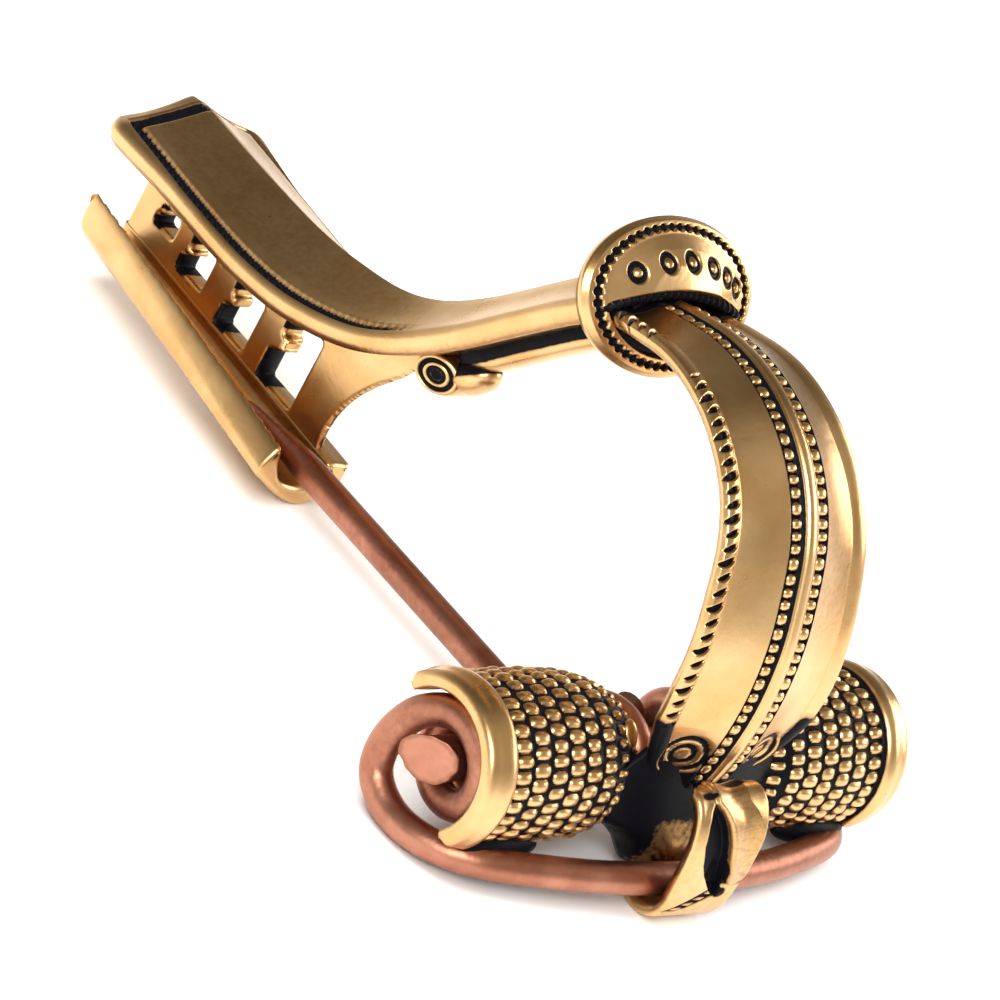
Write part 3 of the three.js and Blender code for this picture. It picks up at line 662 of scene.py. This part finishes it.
# ---- collar ----
def collar_point(p, q, h):
    """A point from its place on the collar: p up its height, q across it, h out towards the head."""
    lean = np.radians(COLLAR["lean"])
    up, front = np.array([np.sin(lean), 0, np.cos(lean)]), np.array([-np.cos(lean), 0, np.sin(lean)])
    p, q, h = (np.asarray(v, float)[..., None] for v in (p, q, h))
    return np.array([COLLAR["x"], 0, COLLAR["z"]]) + p * up + q * np.array([0, 1, 0]) + h * front


def root_line(q):
    """Height on the collar of the corded line over the bow's root: a low arch."""
    return 0.12 - 0.034 * q**2


def collar():
    """Collar: an oval dome cut off at the bow's root, a rim of punched dots, and a hollow below the root.

    p runs up its height and q across it; r is the share of the way from the middle to the edge.
    """
    turn = circle_steps(480)
    r = np.concatenate([np.linspace(0.02, 0.76, 60, endpoint=False), np.linspace(0.76, 1, 30)])[:, None]
    tall = np.where(np.cos(turn) > 0, COLLAR["upper"], COLLAR["lower"])
    p, q = r * tall * np.cos(turn), r * COLLAR["half_width"] * np.sin(turn)
    dome = table(COLLAR_DOME, r)
    below = smooth(root_line(q) + 0.35, root_line(q) - 0.25, p) * smooth(0.79, 0.72, r)
    ledge = swell(r - 0.765, 0.02) * smooth(root_line(q), root_line(q) - 0.4, p)
    walk = np.hypot(np.gradient(p[-1]), np.gradient(q[-1])) * COLLAR_DOT["share"]
    distance = np.cumsum(walk)
    cell = distance / distance[-1] * np.round(distance[-1] / COLLAR_DOT["pitch"])
    along = from_nearest(cell, 1) * COLLAR_DOT["pitch"] / COLLAR_DOT["half_length"]
    across = (r - COLLAR_DOT["share"]) * (COLLAR["mean_radius"] / COLLAR_DOT["half_width"])
    dot = 1 - smooth(0.7, 1.05, oval(np.abs(along), np.abs(across), 3))
    thread = stripe(across, 0.5)
    ring, boss = 0 * p, 0 * p
    for side in COLLAR_MARKS:
        d = np.hypot(p - COLLAR_MARK["height"] + COLLAR_MARK["bend"] * side**2, q - side)
        ring = np.maximum(ring, stripe(d - COLLAR_MARK["ring"], COLLAR_MARK["line"]))
        boss = np.maximum(boss, swell(d, COLLAR_MARK["boss"]))
    cut_in = np.maximum(dot, 0.55 * thread)
    height = dome - below * (dome - 0.05) - 0.32 * cut_in - 0.2 * ring + 0.12 * boss + 0.12 * ledge
    dark = np.clip(1.2 * dot + 0.75 * thread + 1.1 * ring - 0.5 * boss + 0.75 * below - 0.6 * ledge, 0, 1)
    back_r, back_h = (part[:, None] + 0 * turn for part in np.array(COLLAR_BACK).T)
    back = collar_point(back_r * tall * np.cos(turn), back_r * COLLAR["half_width"] * np.sin(turn), back_h)
    grid = np.concatenate([collar_point(p, q, height), back])
    cast_piece("collar", grid, np.concatenate([dark, 0.2 + 0 * back_h]))


def root_cord():
    """Cord over the bow's root: a black round bar along the root line, nicked all along."""
    cord = ROOT_CORD
    q = np.linspace(-cord["half_length"] + 0.02, cord["half_length"] - 0.02, 420)[:, None]
    turn = circle_steps(20)
    nick = 0.5 + 0.5 * np.cos(2 * np.pi * q / cord["pitch"] + 0.8 * np.sin(turn))
    ends = np.sqrt(np.clip(1 - (q / cord["half_length"]) ** 8, 0, 1))
    radius = cord["radius"] * ends * (0.72 + 0.28 * nick)
    p = root_line(q) + radius * np.cos(turn)
    h = cord["height"] - 0.012 * q**2 + radius * np.sin(turn)
    shade = 1 - 0.75 * smooth(0.9, 1.0, nick) * smooth(0.75, 0.95, np.sin(turn + 0.9))
    cast_piece("root_cord", collar_point(p, q + 0 * turn, h), shade)


# ---- sleeves ----
def sleeve(name, side):
    """Sleeve: a C-shaped wall over the spring; outside, staggered rings of squarish grains on black.

    A grain stands over the wall as (1 - d^2.6)^0.6, where d is 1 on its outline; each has its own small
    random shift and size, and those nearest the bow are smaller.
    """
    rings, grains, start, rim = SLEEVE["rings"], SLEEVE["grains"], SLEEVE["start"], SLEEVE["rim"]
    pitch, steps_per_grain = (rim - start) / rings, 8
    steps = np.array([0, 0.06, 0.12, 0.2, 0.34, 0.5, 0.66, 0.8, 0.88, 0.94])
    y = (start + pitch * (np.arange(rings)[:, None] + steps[None, :])).ravel()
    rim_y, rim_r = np.array(SLEEVE_RIM).T
    share = np.linspace(0, grains, grains * steps_per_grain + 1)[:, None]
    turn = np.radians(SLEEVE["first"] + (SLEEVE["last"] - SLEEVE["first"]) * share / grains)
    ring = np.repeat(np.arange(rings), len(steps))[None, :]
    along = ((y - start) / pitch)[None, :] - ring - 0.5
    shifted = share + 0.5 * (ring % 2)
    index = np.floor(shifted).astype(int)
    around = shifted - index - 0.5
    wobble = rng.uniform(-1, 1, (4, rings, grains + 2))[:, ring, np.clip(index, 0, grains + 1)]
    dx = np.abs(along + 0.04 * wobble[0]) / (0.42 + 0.035 * wobble[2])
    dy = np.abs(around + 0.05 * wobble[1]) / (0.43 + 0.04 * wobble[3])
    d = oval(dx, dy, 3.2) / (0.66 + 0.34 * smooth(0, 2.6, ring))
    grain = SLEEVE["height"] * (1 + 0.15 * wobble[1]) * np.clip(1 - d**2.6, 0, 1) ** 0.6
    outer = table(SLEEVE_RADIUS, y)[None, :] - 0.1 + grain
    each = np.ones((len(turn), 1))
    inner_y = [17, 11, start + 1.6]
    inside = each * np.ones(len(inner_y))
    r = np.concatenate([outer, each * rim_r, SLEEVE["inner"] * inside], 1)
    across = np.concatenate([y, rim_y, inner_y])[None, :]
    rim_shade = np.where(rim_y < 16.1, 0.9, 0.0)
    patina_and_shade = np.concatenate([smooth(0.86, 1.04, d), each * rim_shade, 0.7 * inside], 1)
    end = np.minimum(share, grains - share)
    patina_and_shade = np.maximum(patina_and_shade, smooth(0.12, 0.02, end) * (across < rim))
    r = r - 0.35 * smooth(0.35, 0, end) ** 2 * (r > 4.6)
    grid = np.stack([r * np.cos(turn), side * across + 0 * r, r * np.sin(turn)], -1)
    cast_piece(name, grid, patina_and_shade)


# ---- wire ----
def coil_points(start, end, side):
    """Points of a coil, twelve to a turn, between two numbers of turns still to go before its outer end."""
    turns = np.linspace(start, end, int(np.ceil(abs(start - end) * 12)) + 1)
    angle = LAST_TURN + 2 * np.pi * turns
    y = side * (LAST_Y - COIL_PITCH * turns)
    return np.stack([COIL_RADIUS * np.cos(angle), y, COIL_RADIUS * np.sin(angle)], 1)


def untwisted_frames(centre):
    """Two directions across a curve at each of its points, carried along it without twist.

    Each point first has a frame from the vertical. The turn from each frame to the next, seen along the
    curve, is summed up and taken out again.
    """
    run = np.gradient(centre, axis=0)
    run /= np.linalg.norm(run, axis=1)[:, None]
    level = np.cross(run, [0, 0, 1.0])
    level /= np.linalg.norm(level, axis=1)[:, None]
    steep = np.cross(run, level)
    turned = np.arctan2((level[:-1] * steep[1:]).sum(1), (level[:-1] * level[1:]).sum(1))
    twist = np.concatenate([[0], np.cumsum(turned)])[:, None]
    first = np.cos(twist) * level + np.sin(twist) * steep
    return first, np.cross(run, first)


def wire_piece(name, route, body, count, size=1):
    """A round wire along a spline: rings of points round it, dulled in long soft stretches.

    size is the wire's thickness at each ring, as a share of the full one.
    """
    t, along = even_steps(route, count)
    centre = spline(route, t)
    first, second = untwisted_frames(centre)
    turn = circle_steps(WIRE_SIDES)[..., None]
    radius = WIRE / 2 * (size + 0 * along)[:, None, None]
    grid = centre[:, None] + radius * (np.cos(turn) * first[:, None] + np.sin(turn) * second[:, None])
    shade = 0.25 + 0.25 * np.sin(along / 7.0)[:, None] * np.cos(circle_steps(WIRE_SIDES))
    return tube_piece(name, grid, body, "copper", shade)


def spring():
    """Spring: left coil, loop down to the chord, chord, loop and right coil, in one wire."""
    run = np.array(RUN_TO_CHORD)
    left, right = coil_points(PIN_TURNS - PIN_LOOP - SEAM, 0, 1), coil_points(0, RIGHT_TURNS, -1)
    route = np.vstack([left, run, [CHORD], run[::-1] * [1, -1, 1], right])
    piece = wire_piece("spring_wire", route, "brooch", SPRING_RINGS)
    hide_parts("spring")


def pin():
    """Pin: the innermost turn of the coil and a straight shaft, thinned towards the tip."""
    shaft = [(x, PIN_Y, -COIL_RADIUS) for x in (*PIN_SHAFT_X, PIN_TAPER_FROM, PIN_REACH)]
    route = np.vstack([coil_points(PIN_TURNS - PIN_LOOP, PIN_TURNS, 1), shaft])
    along = even_steps(route, PIN_RINGS)[1]
    taper_length = PIN_REACH - PIN_TAPER_FROM
    share = np.clip((along - along[-1] + taper_length) / taper_length, 0, 1)
    piece = wire_piece("pin_wire", route, "pin", PIN_RINGS, 1 - PIN_TAPER * share**1.5)
    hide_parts("pin")


def axle():
    """Axle rod: straight, with its left end sawn at a slant and roughly flattened.

    Near that end its radius swells by a few waves round it, and the cut face is dented.
    """
    right, left = AXLE_ENDS
    y = np.concatenate([[right] * 2, np.linspace(right + 0.1, left - 2.2, 16),
                        np.linspace(left - 2.1, left, 14), [left] * 4])[:, None]
    share = np.concatenate([[0.3, 0.9], np.ones(30), [0.95, 0.7, 0.4, 0.1]])[:, None]
    turn = circle_steps(64)
    near_end = smooth(left - 1.2, left, y)
    waves = 0.07 + 0.05 * np.sin(3 * turn + 1) + 0.02 * np.sin(11 * turn)
    r = AXLE_RADIUS * share * (1 + near_end * waves)
    x, z = r * np.cos(turn), r * np.sin(turn)
    slant = smooth(left - 2.6, left, y) * (0.72 * x - 0.95)
    dents = 0.07 * np.sin(3.1 * x + 1) * np.sin(4.3 * z) * (y > left - 0.01)
    grid = np.stack([x, y + slant + dents, z], -1)
    shade = 0.15 + 0.5 * swell(share - 0.97, 0.03) * near_end + 0 * x
    piece = tube_piece("axle_rod", grid, "brooch", "copper", shade)
    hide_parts("axle")


# ---- catch ----
def edge_distance(points, outline):
    """Distance of points to a closed outline, negative inside it."""
    a = np.array(outline, float)
    b = np.roll(a, -1, 0)
    side = b - a
    to = points[:, None] - a[None]
    share = np.clip((to * side).sum(-1) / (side**2).sum(-1), 0, 1)
    distance = np.linalg.norm(to - share[..., None] * side, axis=-1).min(1)
    straddles = (a[:, 1] <= points[:, 1:]) != (b[:, 1] <= points[:, 1:])
    rise = np.where(side[:, 1] == 0, 1, side[:, 1])
    left_of = points[:, :1] < a[:, 0] + (points[:, 1:] - a[:, 1]) / rise * side[:, 0]
    inside = (straddles & left_of).sum(1) % 2 == 1
    return np.where(inside, -distance, distance)


def stepped_window(x, z, width, height):
    """Outline of a catch window drawn in by its corner radius: a far side stepped back like a stair."""
    size = np.array([width, height]) - 2 * ROUNDING
    return np.array([x, z]) + ROUNDING + WINDOW_STEPS * size


def catch_plate():
    """Catch plate: a sheet in the bow plane, pierced by stepped windows, thinned to its near edge.

    A grid of cells covers the plate; points close to an outline move onto it, cells outside go, and
    walls join the two faces round every border that is left.
    """
    near = [*spline(CATCH_NEAR, np.linspace(0, 1, 40))]
    outline, near_side = near + CATCH_FAR, near + CATCH_BEYOND
    holes = [stepped_window(*w) for w in WINDOWS]
    x, z = np.meshgrid(np.arange(27, 56.6, CATCH_CELL), np.arange(-4.2, 9.6, CATCH_CELL), indexing="ij")
    at = np.stack([x.ravel(), z.ravel()], 1)

    def outside(points):
        """Distance outside the sheet, negative in its metal."""
        in_holes = [ROUNDING - edge_distance(points, hole) for hole in holes]
        return np.maximum.reduce([edge_distance(points, outline), *in_holes])

    step = 1e-3
    for _ in range(3):
        d = outside(at)
        slope = np.stack([outside(at + [step, 0]) - d, outside(at + [0, step]) - d], 1) / step
        at = np.where(np.abs(d)[:, None] < 0.62 * CATCH_CELL, at - d[:, None] * slope, at)
    d = outside(at)
    keep = (d < 0.02).reshape(x.shape)
    roll = CATCH_EDGE * rounding(-np.minimum(d, 0), CATCH_EDGE)
    thin = CATCH_THINNING * smooth(1.6, 0.1, -edge_distance(at, near_side))
    half = CATCH_THICKNESS / 2
    front = np.stack([at[:, 0], half - roll, at[:, 1]], 1)
    back = np.stack([at[:, 0], -half + roll + thin, at[:, 1]], 1)
    index = np.arange(len(at)).reshape(x.shape)
    i, j = np.nonzero(keep[:-1, :-1] & keep[1:, :-1] & keep[1:, 1:] & keep[:-1, 1:])
    quads = np.stack([index[i, j], index[i, j + 1], index[i + 1, j + 1], index[i + 1, j]], 1)
    edges = np.concatenate([quads[:, [k, (k + 1) % 4]] for k in range(4)])
    key = np.sort(edges, 1) @ np.array([len(at), 1])
    _, first, counts = np.unique(key, return_index=True, return_counts=True)
    rim = edges[first[counts == 1]]
    walls = np.stack([rim[:, 1], rim[:, 0], rim[:, 0] + len(at), rim[:, 1] + len(at)], 1)
    # Painted shade: the windows' far walls and the face beside them go black, the walls more so towards the
    # back face.
    dark = np.maximum.reduce([window_far_shade(at, *row) for row in zip(WINDOWS, holes)])
    # Painted shade: the near edge's wall darkens towards the back face, all along the edge.
    near_edge_shade = np.abs(edge_distance(at, near_side)) < 0.1
    shade = np.concatenate([0.05 + 0.6 * dark, dark + 0.8 * near_edge_shade])
    faces = [quads, quads[:, ::-1] + len(at), walls]
    mesh_piece("catch_plate", np.vstack([front, back]), faces, "brooch", "bronze", shade)


def window_far_shade(at, window, hole):
    """Painted shade: black in a window's far side, and less of it on the tooth between its lower and upper
    parts.
    """
    x, z, width, height = window
    far = smooth(x + 0.55 * width, x + 0.7 * width, at[:, 0]) * (edge_distance(at, hole) < ROUNDING + 0.25)
    return far * np.where((at[:, 1] < z + 0.4 * height) | (at[:, 1] > z + 0.76 * height), 1, 0.3)


def trough():
    """Trough for the pin: a hooked section that changes evenly towards the foot's end.

    Both ends are rounded over, and the lip runs a little ragged, as a sum of two sines.
    """
    ring = np.linspace(0, 1, 132, endpoint=False)
    near, far = (spline([*section, section[0]], ring)[None] for section in (TROUGH_NEAR, TROUGH_FAR))
    length = TROUGH_X[1] - TROUGH_X[0]
    curl = TROUGH_END_RADIUS
    ends = curl * (1 - np.cos(np.linspace(0, np.pi / 2, 7)))
    x = np.concatenate([ends, np.linspace(ends[-1] + 0.2, length - curl - 0.2, 90), length - ends[::-1]])
    section = near + (far - near) * (x / length)[:, None, None]
    run = np.roll(section, -1, 1) - np.roll(section, 1, 1)
    run /= np.linalg.norm(run, axis=2)[..., None]
    to_end = np.minimum(x, length - x)
    inset = curl * rounding(to_end, curl)
    section = section + inset[:, None, None] * np.stack([-run[..., 1], run[..., 0]], -1)
    lip = swell(ring - TROUGH_LIP, 0.035)[None, :]
    ragged = (0.07 * np.sin(5.1 * x) + 0.05 * np.sin(11.3 * x + 1)) * smooth(0.3, 1.5, to_end / curl)
    z = section[..., 1] + lip * ragged[:, None]
    grid = np.stack([TROUGH_X[0] + x[:, None] + 0 * ring, section[..., 0], z], -1)
    inside = smooth(0.6, 0.68, ring) * smooth(0.99, 0.93, ring)
    cast_piece("catch_trough", grid, 0.16 * inside[None, :] + 0 * x[:, None], folded=True)


# ---- head: column and hook ----
COLUMN = [(-4.9, 2.4, -5.9), (-4.2, 3.1, -5.95), (-3.2, 4.1, -5.9), (-2.2, 5.6, -5.6), (-1.2, 7.4, -5.1),
          (0.5, 7.2, -4.7), (2.2, 6.2, -4.5), (3.6, 5, -4.4)]


def column():
    """Column joining bow, sleeves and hook: level by level a flat-backed wall with a bulged front.

    COLUMN gives the levels: height, half width and front. A patch near the hook is brushed bare.
    """
    z, half, front = (part[:, None] for part in spline(COLUMN, np.linspace(0, 1, 80)).T)
    q = np.linspace(-1, 1, 81)[None, :]
    face = front + (np.abs(q) ** 2.4) * (-3.9 - front)
    y = q * half
    brushed = stripe(y - 0.9, 2.2) * smooth(-0.2, -1.6, z)
    scratch = 0.5 + 0.5 * np.sin(9 * z + 5 * np.sin(2.3 * y))
    x = np.concatenate([face, -3.5 + 0 * face], 1)
    shade = np.concatenate([1 - (0.51 + 0.06 * scratch) * brushed, 0.9 + 0 * face], 1)
    grid = np.stack([x, np.concatenate([y, y[:, ::-1]], 1), z + 0 * x], -1)
    cast_piece("column", grid, shade)


def hook():
    """Hook that holds the chord: a strap bent round it and rolled over at the top.

    Its front has a black slot beside a broad tongue with a rounded lower end; under the tongue runs a
    slanted row of square beads. HOOK_SLOT gives the slot's place along the strap, middle and half width,
    HOOK_PATCHES each dark patch's place across and along, and its half sizes.
    """
    t, along = even_steps(HOOK_LINE, 330)
    s = along[:, None]
    length = along[-1]
    from_top = np.clip(s - length + HOOK_ROUND_TOP, 0, HOOK_ROUND_TOP) / (HOOK_ROUND_TOP + 0.05)
    w = HOOK_HALF_WIDTH * np.sqrt(1 - from_top**4) * (0.9 + 0.1 * smooth(4, 8, s))
    middle = table(HOOK_SLOT, along)[:, None]
    half = table([(at, size) for at, _, size in HOOK_SLOT], along)[:, None]
    form, beads = HOOK_TONGUE, HOOK_BEADS

    def relief(u):
        """Height and patina of the upper side."""
        slot = (1 - smooth(0.8, 1.04, np.abs(u - middle) / (half + 0.01))) * (half > 0.05)
        lip = swell(u - middle - half - 0.22, 0.22) * smooth(7.5, 9.5, s)
        tip = np.hypot((u - form["y"]) / form["half_width"], np.minimum(s - form["tip"], 0) / form["round"])
        tongue = np.where(s < form["tip"], smooth(1.08, 0.98, tip), 1) * smooth(7.2, 7.4, s)
        tongue = tongue * smooth(middle - half + 0.1, middle - half - 0.15, u)
        hollow = form["hollow"] * tongue * np.sin(np.pi * np.clip((middle - half - 0.3 - u) / 2.4, 0, 1))
        under_tongue = smooth(7.0, 7.5, s) * smooth(9.0, 8.2, s) * (1 - tongue) * smooth(0.2, -0.4, u)
        drift = beads["y"] - beads["slant"] * (s - beads["at"])
        line = stripe(u - drift, beads["half_width"]) * smooth(4.9, 5.2, s) * smooth(7.0, 6.7, s)
        bead = smooth(0.0, 0.35, np.cos(2 * np.pi * s / beads["pitch"])) * stripe(u - drift, 0.42)
        bed = line * (1 - bead)
        patch = sum(stripe(np.hypot((u - y) / wide, (s - at) / tall), 1)
                    for y, at, wide, tall in HOOK_PATCHES)
        h = 0.12 * lip + form["height"] * tongue - hollow
        h = h - 0.6 * slot - beads["depth"] * bed - 0.12 * under_tongue
        h = h - HOOK_EDGE["drop"] * rounding(w - np.abs(u), HOOK_EDGE["radius"])
        scratches = 0.1 * tongue * smooth(0.5, 1, np.sin(17 * s + 4 * np.sin(3 * s + u) + 1.5 * u))
        dark = 1.3 * slot + bed + patch + scratches + 0.14 * tongue + 0.9 * under_tongue + 0.12
        return h, np.clip(dark, 0, 1)

    def under(u):
        """Height of the lower side."""
        return -HOOK_THICKNESS + 0.2 * smooth(0.35, 0, w - np.abs(u)) ** 2

    across = places(w, [0, 0.05], 88, [0.3, 0.24, 0.18, 0.12, 0.07, 0.03, 0])
    ribbon("hook", HOOK_LINE, t, across, relief, under, shift=HOOK_Y)


# ---- floor, light and camera ----
FLOOR_HALF = 3.0
FLOOR_COLOUR = (0.92, 0.92, 0.91, 1)
# Soft lights, in metres and watts: name, place, target, size, power, and whether the metal mirrors it.
LIGHTS = [("overhead", (0, 0, 1.2), (0, 0, 0), (1.6, 1.6), 19.0, False),
          ("window", (-0.45, 0.55, 0.5), (0, 0, 0.01), (0.35, 0.35), 5.0, True),
          ("side", (-0.2, -0.7, 0.3), (0, 0, 0.01), (0.6, 0.3), 3.0, True),
          ("bench", (0.15, 0.3, 0.6), (0.08, 0.12, 0), (0.4, 0.4), 2.0, False)]
# Camera, in millimetres from the spring's axis: its place, and where its right, down and far side lie.
CAMERA_PLACE = (-157.25, 226.1, 137.4)
CAMERA_RIGHT = (-0.5639, -0.6984, 0.4408)
CAMERA_DOWN = (-0.6098, -0.0079, -0.7925)
CAMERA_AWAY = (0.557, -0.7157, -0.4214)
LENS, FILM_WIDTH = 187.2, 36
# Light from around: the sky by its height, and the tones of its bright head side and dim right side.
SKY = [(0, (1, 1, 1, 1)), (0.12, (0.95, 0.93, 0.9, 1)), (0.4, (0.4, 0.37, 0.33, 1)),
       (0.75, (0.2, 0.18, 0.155, 1)), (1, (0.16, 0.145, 0.125, 1))]
HEAD_GLOW = (0.64, 0.58, 0.49, 1)
SIDE_DIM = (0.14, 0.12, 0.1, 1)


def floor():
    """Floor: one pale square at height zero."""
    material = bpy.data.materials.new("plain floor")
    Shader(material).set(Base_Color=FLOOR_COLOUR, Roughness=0.9)
    mesh = bpy.data.meshes.new("floor")
    corners = [(x * FLOOR_HALF, y * FLOOR_HALF, 0) for x, y in ((-1, -1), (1, -1), (1, 1), (-1, 1))]
    mesh.from_pydata(corners, [], [(0, 1, 2, 3)])
    mesh.materials.append(material)
    add_object("floor", mesh)


def soft_light(name, place, target, size, power, mirrored):
    """A rectangle of light that faces its target."""
    lamp = bpy.data.lights.new(name, "AREA")
    lamp.shape = "RECTANGLE"
    lamp.size, lamp.size_y = size
    lamp.energy = power
    light = add_object(name, lamp)
    light.location = place
    light.rotation_euler = (Vector(target) - Vector(place)).to_track_quat("-Z", "Y").to_euler()
    light.visible_glossy = mirrored


def camera():
    """Camera: a long lens above the head's left side, looking down along the foot."""
    lens = bpy.data.cameras.new("camera")
    lens.sensor_width = FILM_WIDTH
    lens.lens = LENS
    lens.clip_start, lens.clip_end = 0.01, 20
    seat = add_object("camera", lens)
    turn = Matrix((Vector(CAMERA_RIGHT), -Vector(CAMERA_DOWN), -Vector(CAMERA_AWAY))).transposed()
    seat.matrix_world = Matrix.Translation(Vector(CAMERA_PLACE) * MM + Vector(AXIS)) @ turn.to_4x4()
    bpy.context.scene.camera = seat


def surround():
    """Pale surround that darkens upwards, so that the metal has something to mirror.

    Above the head's side it is brighter, and towards the brooch's right it is dimmer.
    """
    world = bpy.data.worlds.new("surround")
    bpy.context.scene.world = world
    s = Shader(world, "Background")
    toward = s.node("ShaderNodeTexCoord")
    ahead, aside, height = (s.part(toward, index) for index in range(3))
    glow = ahead.rise(0.1, -0.3) * height.rise(0.35, 0.65)
    lit = s.blend(glow * 0.85, s.ramp(height, SKY), HEAD_GLOW)
    s.set(Color=s.blend(aside.rise(-0.6, -0.9) * 0.5, lit, SIDE_DIM), Strength=0.9)


# ---- the whole scene ----
bow()
foot()
collar()
sleeve("left_sleeve", 1)
sleeve("right_sleeve", -1)
spring()
pin()
axle()
catch_plate()
trough()
column()
hook()
neck_rib()
knob()
root_cord()
for lump in LUMPS:
    egg(*lump)

floor()
surround()
for row in LIGHTS:
    soft_light(*row)
camera()
bpy.context.scene.view_settings.view_transform = "Standard"
